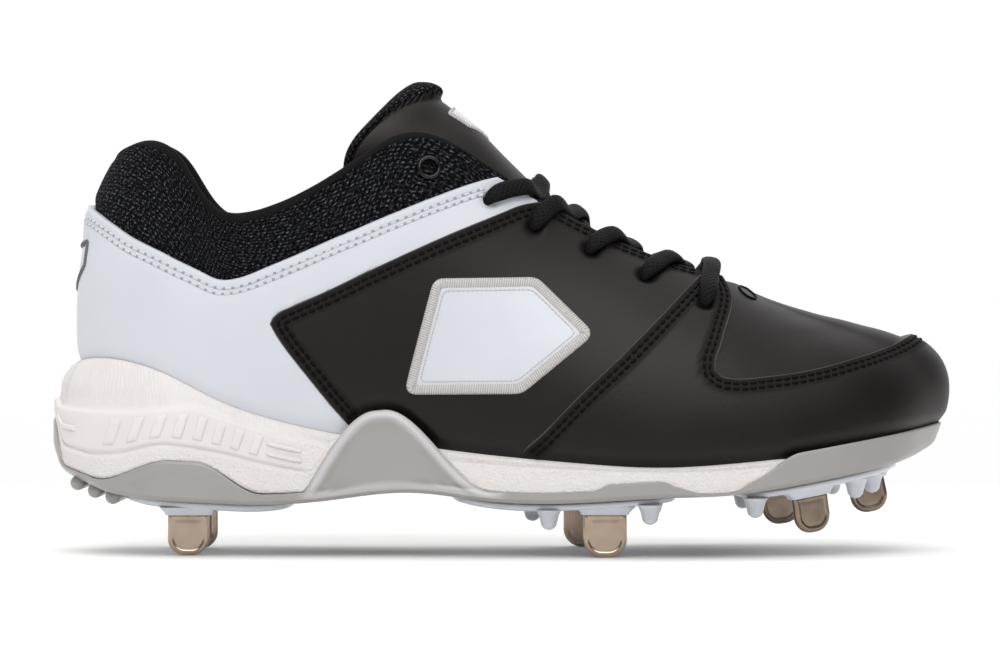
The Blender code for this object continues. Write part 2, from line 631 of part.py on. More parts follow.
def make_outsole(material, collection, helpers):
    """Grey tray: floor, low side wall with the flanks, arch wings and toe wrap, and heel tread bars."""
    station = foot_ring()
    flange = column("flange", station)
    edge = outsole_edge(station)
    seat = flange - OUTSOLE_WALL - SOLE_CLEARANCE
    shoulder = sole_ring(station, flange, underside)[:, 2] + 1.4
    floor = sole_ring(station, seat - 1.6, floor_height)[:, 2]

    def inside(height):
        clear = bulge_at_height(station, height) + SOLE_CLEARANCE
        return np.maximum(flange - OUTSOLE_WALL, np.where(height > column("feather_z", station), clear, 0.0))

    middle, half_up = 0.5 * (floor + edge), 0.5 * (shoulder + edge)
    top_in, middle_in = inside(edge), inside(middle)
    top_out, middle_out = np.maximum(flange, top_in + 1.6), np.maximum(flange, middle_in + 1.6)
    rings = [
        sole_ring(station, flange - 6.0, underside),
        sole_ring(station, flange - 1.4, lambda x: underside(x) + 0.3),
        sole_ring(station, flange, shoulder),
        sole_ring(station, middle_out, half_up),
        sole_ring(station, top_out, edge - 0.2 * (edge - half_up)),
        sole_ring(station, top_out - 0.6, edge),
        sole_ring(station, top_in + 0.25, edge - 0.04 * (edge - floor)),
        sole_ring(station, top_in, edge - 0.15 * (edge - floor)),
        sole_ring(station, middle_in, middle),
        sole_ring(station, np.minimum(middle_in, seat + SOLE_CLEARANCE), floor + 0.25 * (middle - floor)),
        sole_ring(station, seat - 1.6, floor),
    ]
    outsole = make_stack("outsole", rings, material, collection)
    fuse(outsole, [make_heel_bars(material, collection)], helpers)
    return outsole


def make_heel_bars(material, collection):
    """Rounded bars across the back of the heel, sunk into the outsole that they are joined to."""
    work = bmesh.new()
    for x in HEEL_BARS_X:
        z = float(underside(x)) - HEEL_BAR_DEPTH
        reach = HEEL_BAR_WIDTH_SHARE * heel_half_width(x)
        bar = bmesh.ops.create_cone(
            work, cap_ends=True, segments=HEEL_BAR_SIDES, radius1=HEEL_BAR_RADIUS * MM,
            radius2=HEEL_BAR_RADIUS * MM, depth=2 * reach * MM,
        )
        place = Matrix.Translation(Vector((x, 0, z)) * MM) @ Matrix.Rotation(math.pi / 2, 4, "X")
        bmesh.ops.transform(work, matrix=place, verts=bar["verts"])
    mesh = bpy.data.meshes.new("heel_bars")
    work.to_mesh(mesh)
    work.free()
    bars = bpy.data.objects.new("heel_bars", mesh)
    mesh.materials.append(material)
    collection.objects.link(bars)
    return bars


def heel_half_width(x):
    """Half width of the heel's flange at a place near its back."""
    station = np.linspace(0.0, 3.0, 60)
    ring = sole_ring(station, column("flange", station), 0.0)
    return float(np.interp(x, ring[:, 0], -ring[:, 1]))


def make_midsole(material, collection):
    """White foam: a cup round the heel, stepped at the outsole's edge, with two moulded seams."""
    station = foot_ring()
    x = column("x", station)
    flange = column("flange", station)
    feather = column("feather_z", station)
    seat = flange - OUTSOLE_WALL - SOLE_CLEARANCE
    bottom = sole_ring(station, seat - 1.9, floor_height)[:, 2] + SEAT_GAP
    room = seat - SOLE_CLEARANCE
    cup = smooth_step(room, 0.8, 1.8)
    rim = (feather - SEAT_GAP) * (1 - cup) + column("rim", station) * cup
    edge = outsole_edge(station) + SEAT_GAP
    highest = rim - FOAM_BAND
    covered = smooth_step(edge, highest - 1.5, highest - 0.2)
    covered = np.maximum.reduce([np.roll(covered, 1), covered, np.roll(covered, -1)])
    ledge = np.maximum(np.minimum(edge, highest), bottom + 0.3 * (rim - bottom))
    out = seat + (flange - 0.2 - seat) * (1 - covered)
    low = np.clip(column("seam_low", station), ledge + 0.2 * (rim - ledge), ledge + 0.5 * (rim - ledge))
    high = np.clip(column("seam_high", station), low + 0.2 * (rim - low), low + 0.75 * (rim - low))
    seam = FOAM_SEAM_DEPTH * (1 - smooth_step(x, *FOAM_SEAM_ENDS)) * (1 - covered)
    lip = np.minimum(out, np.maximum(bulge_at_height(station, rim) + SOLE_CLEARANCE + 1.9, seat))
    hold = np.minimum(bulge_at_height(station, rim) + SOLE_CLEARANCE, lip - 0.7)
    half_hold = np.minimum(bulge_at_height(station, 0.5 * (rim + feather)) + SOLE_CLEARANCE, hold)
    bed = feather - SEAT_GAP
    rings = [
        sole_ring(station, seat - 1.9, bottom),
        sole_ring(station, seat, bottom + 0.5 * (ledge - bottom)),
        sole_ring(station, seat, ledge),
        sole_ring(station, out - 0.3 * (1 - covered), ledge + 0.08 * (low - ledge)),
        sole_ring(station, out, low - 0.15 * (low - ledge)),
        sole_ring(station, out - seam, low),
        sole_ring(station, out, low + 0.12 * (high - low)),
        sole_ring(station, out - 0.3 * seam, high - 0.12 * (high - low)),
        sole_ring(station, out - 1.5 * seam, high),
        sole_ring(station, lip, rim - 0.2 * (rim - high)),
        sole_ring(station, 0.6 * lip + 0.4 * hold, rim),
        sole_ring(station, hold, rim - 0.12 * (rim - bed) - 0.01),
        sole_ring(station, half_hold - 0.05, bed + 0.45 * (rim - bed) - 0.02),
        sole_ring(station, np.minimum(half_hold - 0.1, SOLE_CLEARANCE), bed - 0.03),
    ]
    return make_stack("midsole", rings, material, collection)


def make_insole(material, collection):
    """Sock liner on the footbed, inside the wall of the upper."""
    station = foot_ring()
    feather = column("feather_z", station)
    rings = [
        sole_ring(station, -INSOLE_INSET, feather),
        sole_ring(station, -INSOLE_INSET, feather + INSOLE_THICKNESS - 0.8),
        sole_ring(station, -INSOLE_INSET - 1.4, feather + INSOLE_THICKNESS),
    ]
    return make_stack("insole", rings, material, collection)


# Tongue


def tongue_row(s):
    """The tongue's columns read at a share of its length, root to top."""
    rows = np.array(list(TONGUE.values()), float)
    knots = np.linspace(0.0, 1.0, len(rows))
    slopes = np.gradient(rows, knots, axis=0)
    i = np.clip(np.searchsorted(knots, s, side="right") - 1, 0, len(rows) - 2)
    gap = knots[1]
    t = ((s - knots[i]) / gap)[:, None]
    read = (
        rows[i] * (1 + 2 * t) * (1 - t) ** 2
        + slopes[i] * gap * t * (1 - t) ** 2
        + rows[i + 1] * t * t * (3 - 2 * t)
        + slopes[i + 1] * gap * t * t * (t - 1)
    )
    return dict(zip(TONGUE_COLUMNS, read.T))


def tongue_grid(inset):
    """Grid of the arched tongue, set in along its arch by a share of its thickness."""
    row = {name: values[:, None] for name, values in tongue_row(np.linspace(0, 1, TONGUE_ROWS)).items()}
    across = np.linspace(-1.0, 1.0, TONGUE_ACROSS)[None, :]
    angle = np.radians(row["half_angle"]) * across
    radius = row["radius"] - inset * row["thickness"] * (1 - 0.45 * across**4)
    drop = row["radius"] - radius * np.cos(angle)
    x = row["x"] - row["lean"] * drop
    y = TONGUE_CENTRE_Y + radius * np.sin(angle)
    return np.stack([x, y, row["crown_z"] - drop], -1)


def make_tongue(material, collection):
    """Padded tongue under the laces, arched over the instep and leaning back at its top."""
    return make_sheet("tongue", tongue_grid(0.0), tongue_grid(1.0), material, collection)


def tongue_height(x, y):
    """Height of the tongue's face, where its sections stand upright."""
    s = np.linspace(0, 1, 200)
    row = tongue_row(s)
    order = np.argsort(row["x"])
    crown = np.interp(x, row["x"][order], row["crown_z"][order])
    radius = np.interp(x, row["x"][order], row["radius"][order])
    return crown - radius + math.sqrt(max(radius**2 - (y - TONGUE_CENTRE_Y) ** 2, 0.0))


# Laces and eyelets


def strand(name, path, material, collection):
    """Flat oval cord along rows of a point and the direction that the cord's flat side faces."""
    run = smooth_path(path, LACE_SECTIONS)
    centre, facing = run[:, :3], run[:, 3:]
    along = np.gradient(centre, axis=0)
    side = np.cross(along, facing)
    side /= np.linalg.norm(side, axis=1, keepdims=True)
    up = np.cross(side, along)
    up /= np.linalg.norm(up, axis=1, keepdims=True)
    turn = np.arange(LACE_SIDES) * 2 * np.pi / LACE_SIDES
    loops = (
        centre[:, None]
        + side[:, None] * (0.5 * LACE_WIDTH * np.cos(turn))[None, :, None]
        + up[:, None] * (0.5 * LACE_THICKNESS * np.sin(turn))[None, :, None]
    )
    return make_bar(name, loops, material, collection)


def hole_run(hole, side):
    """Cord rows from just over a laced hole to the throat edge; side is -1 lateral, 1 medial."""
    station, share = hole
    shares = np.array([share, 0.5 * (share + 1.0), 1.0])
    stations = station + LACE_TOEWARD
    if side > 0:
        stations = STATIONS - stations
    lift = PANEL_GAP + PANEL_THICKNESS + LACE_CLEARANCE + 0.5 * LACE_THICKNESS
    points = wall_point(stations, shares, np.full(3, lift))
    return np.concatenate([points, last_normal(stations, shares)], axis=1)


def over_tongue(x, y, lift):
    """Cord row lying on the tongue, a lift above its face."""
    step = 1.0
    slope_x = (tongue_height(x + step, y) - tongue_height(x - step, y)) / (2 * step)
    slope_y = (tongue_height(x, y + step) - tongue_height(x, y - step)) / (2 * step)
    normal = np.array([-slope_x, -slope_y, 1.0])
    normal /= np.linalg.norm(normal)
    point = np.array([x, y, tongue_height(x, y)]) + normal * lift
    return np.concatenate([point, normal])


def make_laces(material, collection, helpers):
    """One straight bar at the toe and a crossing above each of the other rows of holes."""
    lift = LACE_CLEARANCE + 0.5 * LACE_THICKNESS
    left, right = hole_run(LACE_HOLES[0], -1), hole_run(LACE_HOLES[0], 1)
    crown = 0.5 * (left[-1] + right[-1])
    crown[2] += LACE_BAR_ARCH
    strand("lace_bar", np.vstack([left, crown, right[::-1]]), material, collection)
    for k in range(1, len(LACE_HOLES)):
        pair = []
        for side, name in ((-1, f"lace_cross_{k}"), (1, f"lace_cross_{k}_medial")):
            run = hole_run(LACE_HOLES[k], side)
            far = hole_run(LACE_HOLES[k - 1], -side)[-1]
            end = over_tongue(far[0] - LACE_TUCK_X, LACE_TUCK_SHARE * far[1], lift)
            middle = over_tongue(0.5 * (run[-1][0] + end[0]), TONGUE_CENTRE_Y, lift)
            middle[2] = max(middle[2], 0.5 * (run[-1][2] + end[2]))
            pair.append(strand(name, np.vstack([run, middle, end]), material, collection))
        fuse(pair[0], pair[1:], helpers)


def make_eyelet(name, medial, material, collection):
    """Black metal ring round the unlaced top eyelet."""
    station = STATIONS - TOP_EYELET[0] if medial else TOP_EYELET[0]
    lift = EYELET_WIRE + SEAT_GAP + 0.25
    centre = wall_point(station, TOP_EYELET[1], lift)
    normal = last_normal(station, TOP_EYELET[1])
    bpy.ops.mesh.primitive_torus_add(
        major_radius=EYELET_RADIUS * MM, minor_radius=EYELET_WIRE * MM, major_segments=14, minor_segments=5
    )
    ring = bpy.context.object
    ring.name = name
    ring.data.materials.append(material)
    ring.location = Vector(centre) * MM
    ring.rotation_mode = "QUATERNION"
    ring.rotation_quaternion = Vector(normal).to_track_quat("Z", "Y")
    for owner in list(ring.users_collection):
        owner.objects.unlink(ring)
    collection.objects.link(ring)
    return ring


# Cleat plates and spikes


def plate_half_widths(x):
    """Lateral and medial edges of a cleat plate at a place along the foot, inside the sole's outline."""
    station = np.linspace(0.0, TOE_STATION, 200)
    xs = column("x", station)
    lateral = np.interp(x, xs, column("y", station)) + PLATE_INSET
    medial = np.interp(x, xs, column("y", STATIONS - station)) - PLATE_INSET
    return lateral, medial


def make_plate(name, material, collection, helpers):
    """White cleat plate that follows the underside, with moulded nubs and a boss over each spike."""
    plan = PLATES[name]
    x = np.linspace(plan["back"], plan["front"], PLATE_STATIONS)
    t = np.linspace(-1.0, 1.0, PLATE_STATIONS)
    swell = PLATE_END_ROUND + (1 - PLATE_END_ROUND) * np.sqrt(1 - np.abs(t) ** 4)
    lateral, medial = plate_half_widths(x)
    middle = 0.5 * (lateral + medial)
    half = 0.5 * (medial - lateral) * plan["width"] * swell
    top = underside(x) - SEAT_GAP
    depth = PLATE_THICKNESS * (0.4 + 0.6 * np.sqrt(1 - np.abs(t) ** 4))
    left = [np.stack([x, middle - half + inset, top - d * depth], -1) for inset, d in PLATE_EDGE]
    right = [np.stack([x, middle + half - inset, top - d * depth], -1) for inset, d in PLATE_EDGE]
    loops = np.stack(left + right[::-1], axis=1)
    plate = make_bar(name, loops, material, collection)
    bumps = [make_nub(f"{name}_nub_{i}", nub, material, collection) for i, nub in enumerate(plan["nubs"])]
    bumps += [
        make_boss(f"{spike}_boss", row, material, collection)
        for spike, row in spike_rows().items()
        if row["plate"] == name
    ]
    fuse(plate, bumps, helpers)
    return plate


def spike_rows():
    """The spikes' table as one dictionary of named values for each spike."""
    return {name: dict(zip(SPIKE_COLUMNS, row)) for name, row in SPIKES.items()}


def plate_face(x):
    """Height of the lower face of a plate's thick middle."""
    return float(underside(x)) - SEAT_GAP - PLATE_THICKNESS


def make_nub(name, nub, material, collection):
    """Moulded traction nub, a short cone that grows out of the plate."""
    x, share = nub
    lateral, medial = plate_half_widths(x)
    y = 0.5 * (lateral + medial) + 0.5 * (medial - lateral) * share
    work = bmesh.new()
    bmesh.ops.create_cone(
        work, cap_ends=True, segments=NUB_SIDES, radius1=NUB_TIP_RADIUS * MM, radius2=NUB_ROOT_RADIUS * MM,
        depth=(NUB_LENGTH + BUMP_SUNK) * MM,
    )
    tip = [e for e in work.edges if all(v.co.z < 0 for v in e.verts)]
    bmesh.ops.bevel(work, geom=tip, offset=0.9 * MM, segments=1, affect="EDGES")
    mesh = bpy.data.meshes.new(name)
    work.to_mesh(mesh)
    work.free()
    mesh.materials.append(material)
    obj = bpy.data.objects.new(name, mesh)
    obj.location = Vector((x, y, plate_face(x) + 0.5 * (BUMP_SUNK - NUB_LENGTH))) * MM
    collection.objects.link(obj)
    return obj


def spike_seat(spike):
    """Place of a boss and its spike: on the plate's face, turned, and leaning with the toe spring."""
    place = Matrix.Translation(Vector((spike["x"], spike["y"], plate_face(spike["x"]))) * MM)
    turn = Matrix.Rotation(math.radians(spike["turn"]), 4, "Z")
    return place @ turn @ Matrix.Rotation(math.radians(-spike["lean"]), 4, "Y")


def make_boss(name, spike, material, collection):
    """Tapered block of the plate in which a spike is set."""
    work = bmesh.new()
    bmesh.ops.create_cube(work, size=1.0)
    for vert in work.verts:
        low = vert.co.z < 0
        taper = BOSS_TAPER if low else 1.0
        vert.co.x *= (spike["width"] + BOSS_MARGIN) * taper * MM
        vert.co.y *= BOSS_DEPTH * taper * MM
        vert.co.z = (-BOSS_HEIGHT if low else BUMP_SUNK) * MM
    mesh = bpy.data.meshes.new(name)
    work.to_mesh(mesh)
    work.free()
    mesh.materials.append(material)
    obj = bpy.data.objects.new(name, mesh)
    obj.matrix_world = spike_seat(spike)
    collection.objects.link(obj)
    return obj


def spike_outline(width, height):
    """Blade outline in its own plane: flat top, straight sides, rounded tip with a flat rest."""
    corner = SPIKE_CORNER_SHARE * width
    half = 0.5 * width
    turns = np.linspace(0.0, 0.5 * np.pi, SPIKE_ARC_STEPS)
    right = [(half - corner + corner * math.cos(a), corner - corner * math.sin(a)) for a in turns]
    left = [(-px, pz) for px, pz in right[::-1]]
    return [(-half, height), (half, height)] + right + left


def make_spike(name, spike, material, collection):
    """Steel blade that hangs from its boss to the ground."""
    reach = (plate_face(spike["x"]) - spike["tip_z"]) / math.cos(math.radians(spike["lean"]))
    outline = spike_outline(spike["width"], reach - BOSS_HEIGHT - SEAT_GAP)
    curve = bpy.data.curves.new(name, "CURVE")
    curve.dimensions = "2D"
    curve.fill_mode = "BOTH"
    curve.extrude = 0.5 * SPIKE_THICKNESS * MM
    spline = curve.splines.new("POLY")
    spline.points.add(len(outline) - 1)
    for point, (px, pz) in zip(spline.points, outline):
        point.co = (px * MM, (pz - reach) * MM, 0.0, 1.0)
    spline.use_cyclic_u = True
    curve.materials.append(material)
    blade = bpy.data.objects.new(name, curve)
    blade.matrix_world = spike_seat(spike) @ Matrix.Rotation(math.radians(90), 4, "X")
    collection.objects.link(blade)
    return blade


# Assembly


def centre_on_floor(parts):
    """Puts the middle of the shoe's length and width on the origin."""
    bpy.context.view_layer.update()
    graph = bpy.context.evaluated_depsgraph_get()
    corners = []
    for obj in parts.objects:
        shown = obj.evaluated_get(graph)
        mesh = shown.to_mesh()
        points = np.empty(len(mesh.vertices) * 3)
        mesh.vertices.foreach_get("co", points)
        shown.to_mesh_clear()
        world = np.array(obj.matrix_world)
        points = points.reshape(-1, 3) @ world[:3, :3].T + world[:3, 3]
        corners += [points.min(0), points.max(0)]
    corners = np.array(corners)
    middle = 0.5 * (corners.min(0) + corners.max(0))
    return Vector((-middle[0], -middle[1], 0.0))


def main():
    clear_scene()
    parts = new_collection("softball_cleat")
    helpers = new_collection("cutters")
    finish = {name: make_material(name) for name in COLOURS}
    make_outsole(finish["grey_rubber"], parts, helpers)
    make_midsole(finish["white_foam"], parts)
    make_insole(finish["black_lining"], parts)
    make_upper(finish["black_leather"], parts)
    make_heel_counter(finish["white_leather"], parts)
    make_quarter("quarter_lateral", False, finish["black_leather"], parts)
    make_quarter("quarter_medial", True, finish["black_leather"], parts)
    make_toe_guard(finish["black_leather"], parts)
    make_tongue(finish["black_leather"], parts)
    make_laces(finish["black_cord"], parts, helpers)
    make_eyelet("eyelet_lateral", False, finish["black_metal"], parts)
    make_eyelet("eyelet_medial", True, finish["black_metal"], parts)
    for name in PLATES:
        make_plate(name, finish["white_plastic"], parts, helpers)
    for name, row in spike_rows().items():
        make_spike(name, row, finish["spike_steel"], parts)
    shoe = bpy.data.objects.new("softball_cleat", None)
    bpy.context.scene.collection.objects.link(shoe)
    shoe.location = centre_on_floor(parts)
    for obj in list(parts.objects) + list(helpers.objects):
        obj.parent = shoe
    bpy.context.view_layer.update()


main()
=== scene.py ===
# %% [markdown]
# # Dressing a softball cleat
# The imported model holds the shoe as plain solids: an upper, leather panels laid over it, a tongue, laces,
# a foam midsole, a moulded outsole, cleat plates and steel spikes. This script puts a finished surface in
# the place of each solid. Every surface is worked out from the same shoe last that the solids were cut
# from, so a piece needs no fitting: it is already where the solid is.

import math

import bmesh
import bpy
import numpy as np
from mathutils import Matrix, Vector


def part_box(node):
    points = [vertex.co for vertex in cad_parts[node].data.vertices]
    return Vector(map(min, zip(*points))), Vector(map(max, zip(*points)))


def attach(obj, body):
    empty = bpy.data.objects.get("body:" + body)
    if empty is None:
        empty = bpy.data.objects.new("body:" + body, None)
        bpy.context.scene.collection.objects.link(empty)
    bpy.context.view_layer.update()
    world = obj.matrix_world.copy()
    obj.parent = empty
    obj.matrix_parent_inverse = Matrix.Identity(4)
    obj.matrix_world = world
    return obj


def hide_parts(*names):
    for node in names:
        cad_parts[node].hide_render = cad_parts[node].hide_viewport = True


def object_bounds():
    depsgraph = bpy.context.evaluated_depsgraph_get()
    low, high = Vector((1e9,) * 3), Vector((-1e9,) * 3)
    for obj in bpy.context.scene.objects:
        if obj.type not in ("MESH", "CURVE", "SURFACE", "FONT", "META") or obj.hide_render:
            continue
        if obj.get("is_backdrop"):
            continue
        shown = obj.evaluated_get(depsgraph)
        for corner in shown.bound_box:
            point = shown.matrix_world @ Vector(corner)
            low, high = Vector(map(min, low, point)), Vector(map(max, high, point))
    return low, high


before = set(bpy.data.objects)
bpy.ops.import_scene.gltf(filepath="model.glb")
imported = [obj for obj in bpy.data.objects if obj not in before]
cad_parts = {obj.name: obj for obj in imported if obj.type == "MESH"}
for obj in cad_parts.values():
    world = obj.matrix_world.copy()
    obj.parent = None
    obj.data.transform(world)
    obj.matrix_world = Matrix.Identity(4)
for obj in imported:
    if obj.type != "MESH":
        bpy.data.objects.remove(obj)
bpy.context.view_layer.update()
MM = 0.001
print("solids in the frame:", len(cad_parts))

# %% [markdown]
# The last is drawn in millimetres about the middle of the foot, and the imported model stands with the
# middle of its box on the origin. One spike, whose place on the last is known, gives the step between the
# two.

# %% Find the last's place in the frame
HEEL_SPIKE_PLACE = np.array([-96.3, -20.0])
spike_low, spike_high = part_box("spike_heel_lateral")
spike_middle = 0.5 * (np.array(spike_low) + np.array(spike_high)) / MM
SHIFT = np.append(spike_middle[:2] - HEEL_SPIKE_PLACE, 0.0)
print("last to frame, mm:", SHIFT.round(3))

# %% [markdown]
# The picture is a plain side view from a little over a metre away, level with the middle of the shoe.
# A long lens keeps the heel and toe the same size. A pale floor, a white room and two large softboxes,
# one overhead and one in front, give the soft light of a catalogue picture.

# %% Set the camera and lights
CAMERA_DISTANCE, VIEW_WIDTH, CAMERA_X, CAMERA_Z = 1300.0, 310.0, -1.24, 70.3
SENSOR = 36.0
camera_data = bpy.data.cameras.new("side_view")
camera_data.sensor_width = SENSOR
camera_data.lens = SENSOR * CAMERA_DISTANCE / VIEW_WIDTH
camera = bpy.data.objects.new("side_view", camera_data)
camera.location = np.array([CAMERA_X + SHIFT[0], SHIFT[1] - CAMERA_DISTANCE, CAMERA_Z]) * MM
camera.rotation_euler = (math.pi / 2, 0.0, 0.0)
bpy.context.scene.collection.objects.link(camera)
bpy.context.scene.camera = camera
bpy.context.scene.view_settings.view_transform = "Standard"


def soft_light(name, place, turn, size, power):
    """Area light of the given size in metres, turned from straight down by angles in degrees."""
    data = bpy.data.lights.new(name, "AREA")
    data.shape, data.size, data.size_y, data.energy = "RECTANGLE", size[0], size[1], power
    light = bpy.data.objects.new(name, data)
    light.location, light.rotation_euler = place, [math.radians(a) for a in turn]
    bpy.context.scene.collection.objects.link(light)


soft_light("overhead_softbox", (0.0, -0.05, 1.1), (0, 0, 0), (1.3, 0.8), 4.0)
soft_light("front_softbox", (0.0, -1.1, 1.15), (45.0, 0, 0), (1.5, 1.0), 18.4)
print("camera lens:", round(camera_data.lens, 1), "mm")

# %% [markdown]
# Colours are written as they look on a screen, and the shader wants them as amounts of light, so one
# function turns a hex value into linear numbers. A second one adds a node, sets it and links it, and a
# third starts a material whose colour is a mix of two tones: every finish below is made with these three.


# %% Colour and node helpers
def linear(hex_colour):
    """sRGB hex to linear RGBA: c/12.92 below 0.04045, otherwise ((c + 0.055) / 1.055) ** 2.4."""
    c = np.array([int(hex_colour[i : i + 2], 16) for i in (1, 3, 5)]) / 255.0
    return (*np.where(c <= 0.04045, c / 12.92, ((c + 0.055) / 1.055) ** 2.4), 1.0)


def add(tree, kind, inputs=None, out=0, to=None, **settings):
    """Adds a shader node and returns one of its outputs, linked to the socket `to` if one is given. Inputs
    are values or sockets, by name or number; settings are the node's own properties."""
    made = tree.nodes.new("ShaderNode" + kind)
    for key, value in settings.items():
        setattr(made, key, value)
    for key, value in (inputs or {}).items():
        if isinstance(value, bpy.types.NodeSocket):
            tree.links.new(value, made.inputs[key])
        else:
            made.inputs[key].default_value = value
    if to is not None:
        tree.links.new(made.outputs[out], to)
    return made.outputs[out]


def new_finish(name, dark, light, roughness, edge=None, **constants):
    """Principled material mixed from two tones, with its constant sockets set. Where the attribute `edge`
    is 1 it has a third colour, if one is given: the leathers' raw edge, which on the black leather is also a
    painted highlight, and a painted highlight on the outsole's raised border. Returns the material, its
    tree, the shader's inputs, the coordinates, and the socket that mixes the tones."""
    material = bpy.data.materials.new(name)
    material.use_nodes = True
    tree = material.node_tree
    shader, coords = tree.nodes["Principled BSDF"].inputs, add(tree, "TexCoord").node.outputs
    shader["Base Color"].default_value = linear(light)
    shader["Roughness"].default_value = roughness
    for key, value in constants.items():
        shader[key.replace("_", " ")].default_value = value
    tone = add(tree, "Mix", {6: linear(dark), 7: linear(light)}, 2, shader["Base Color"], data_type="RGBA")
    if edge:
        # third colour where `edge` is 1: the raw leather edge and painted highlights
        edge_tone_and_highlight = add(tree, "Attribute", out="Fac", attribute_name="edge")
        add(tree, "Mix", {0: edge_tone_and_highlight, 6: tone, 7: linear(edge)}, 2, shader["Base Color"], data_type="RGBA")
    return material, tree, shader, coords, tone.node.inputs[0]


def per_metre(size_mm):
    """Texture scale for a pattern whose features are this many millimetres wide."""
    return 1000.0 / size_mm


# %% [markdown]
# **Floor and room.** The floor is matt white card. The room is white behind the shoe and overhead, and
# dim on the camera's side and past the toe, so that the background is white while the upright leather
# reflects a dark room and the leather that faces up picks out the softboxes.

# %% Floor and room
card, tree, shader, coords, mix = new_finish("white_card", "#FAFAF9", "#FCFCFB", 0.9)
add(tree, "TexNoise", {"Vector": coords["Object"], "Scale": per_metre(30)}, to=mix)
floor_mesh = bpy.data.meshes.new("floor")
corners = [(-3.0, -4.0, 0.0), (3.0, -4.0, 0.0), (3.0, 0.6, 0.0), (-3.0, 0.6, 0.0)]
floor_mesh.from_pydata(corners, [], [(0, 1, 2, 3)])
floor_mesh.materials.append(card)
floor = bpy.data.objects.new("floor", floor_mesh)
bpy.context.scene.collection.objects.link(floor)
floor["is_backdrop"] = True

room = bpy.data.worlds.new("white_room")
room.use_nodes = True
tree, backdrop = room.node_tree, room.node_tree.nodes["Background"].inputs
way = add(tree, "SeparateXYZ", {0: add(tree, "TexCoord", out="Generated")}).node.outputs
aside = add(tree, "Math", {0: way[0], 1: -0.4, 2: way[1]}, operation="MULTIPLY_ADD")
DIM, BRIGHT, OVERHEAD = 0.14, 1.0, 0.22
behind = add(tree, "MapRange", {"Value": aside, "From Min": -0.35, "From Max": 0.65, "To Min": DIM,
                                "To Max": BRIGHT}, interpolation_type="SMOOTHSTEP")
add(tree, "Math", {0: way[2], 1: OVERHEAD, 2: behind}, to=backdrop["Strength"], operation="MULTIPLY_ADD")
backdrop["Color"].default_value = linear("#FFFFFF")
bpy.context.scene.world = room
print("floor and room set")

# %% [markdown]
# ** Coated leather.** The black and the white panels are split leather with a thin polyurethane coat,
# pressed with a fine grain and rolled to a satin gloss. The eye sees an almost plain sheet with a soft
# highlight, a grain that only shows in that highlight, and a raw edge of another tone where the sheet was
# cut. On the black leather that edge is painted paler, which also stands for a painted highlight along the
# rolled edge. The attribute `edge` is 1 on such a cut, and `hem` is 1 along the stitch rows, where the coat
# is worked matt.

# %% Coated leather
HEM_ROUGHNESS = 0.3


def leather(name, dark, light, cut_edge_and_highlight, roughness, specular, sheen):
    """Satin coated leather: two close tones in soft clouds, a pressed grain and a raw edge of another tone,
    which on the black leather is paler, partly a painted highlight.
    """
    material, tree, shader, coords, mix = new_finish(
        name, dark, light, roughness, cut_edge_and_highlight, Specular_IOR_Level=specular, Specular_Tint=linear(sheen))
    cloud = add(tree, "TexNoise", {"Vector": coords["Object"], "Scale": per_metre(28), "Detail": 3.0}, to=mix)
    pebble = add(tree, "TexVoronoi", {"Vector": coords["Object"], "Scale": per_metre(0.9)}, "Distance",
                 feature="SMOOTH_F1")
    pore = add(tree, "TexNoise", {"Vector": coords["Object"], "Scale": per_metre(0.35), "Detail": 2.0})
    grain = add(tree, "Math", {0: pebble, 1: pore}, operation="ADD")
    add(tree, "Bump", {"Height": grain, "Strength": 0.10, "Distance": 0.00025}, to=shader["Normal"])
    gloss = add(tree, "MapRange", {"Value": cloud, "To Min": roughness - 0.05, "To Max": roughness + 0.07})
    hem = add(tree, "Attribute", out="Fac", attribute_name="hem")
    add(tree, "Math", {0: hem, 1: HEM_ROUGHNESS, 2: gloss}, to=shader["Roughness"], operation="MULTIPLY_ADD")
    return material


# the black leather's paler raw edge colour is partly a painted highlight along its rolled edge
black_leather = leather("satin_coated_leather_black", "#080605", "#0F0B0A", "#6A6562", 0.45, 0.29, "#FFF7F5")
white_leather = leather("satin_coated_leather_white", "#C1C4CB", "#CBCED4", "#B6B9C0", 0.38, 0.45, "#FFFFFF")
print("leathers:", black_leather.name, white_leather.name)

# %% [markdown]
# ** Knitted mesh.** The collar and the top of the tongue are polyester spacer mesh: a chunky warp knit
# over foam. Each loop is a small shiny lump with a dark hole beside it. The lumps are painted light grey,
# a painted highlight, and the black yarn shows between them. The lumps follow the surface, so the pattern
# reads the UV map, which is in millimetres.

# %% Knitted mesh and lining
LOOP_WIDTH, LOOP_HEIGHT, LOOP_SLANT = 1.7, 1.25, 0.35
knit, tree, shader, coords, mix = new_finish(
    "polyester_spacer_mesh", "#010101", "#686A75", 0.45, Specular_IOR_Level=0.1)
scaled = add(tree, "Mapping", {"Vector": coords["UV"], "Scale": (1 / LOOP_WIDTH, 1 / LOOP_HEIGHT, 1.0),
                               "Rotation": (0.0, 0.0, LOOP_SLANT)})
loops = add(tree, "TexVoronoi", {"Vector": scaled, "Scale": 1.0, "Randomness": 0.32}, "Distance",
            voronoi_dimensions="2D")
lump = add(tree, "MapRange", {"Value": loops, "From Min": 0.1, "From Max": 0.62, "To Min": 1.0,
                              "To Max": 0.0}, interpolation_type="SMOOTHSTEP")
fibre = add(tree, "TexNoise", {"Vector": coords["UV"], "Scale": 1.4, "Detail": 3.0})
strand = add(tree, "MapRange", {"Value": fibre, "From Min": 0.47, "From Max": 0.70})
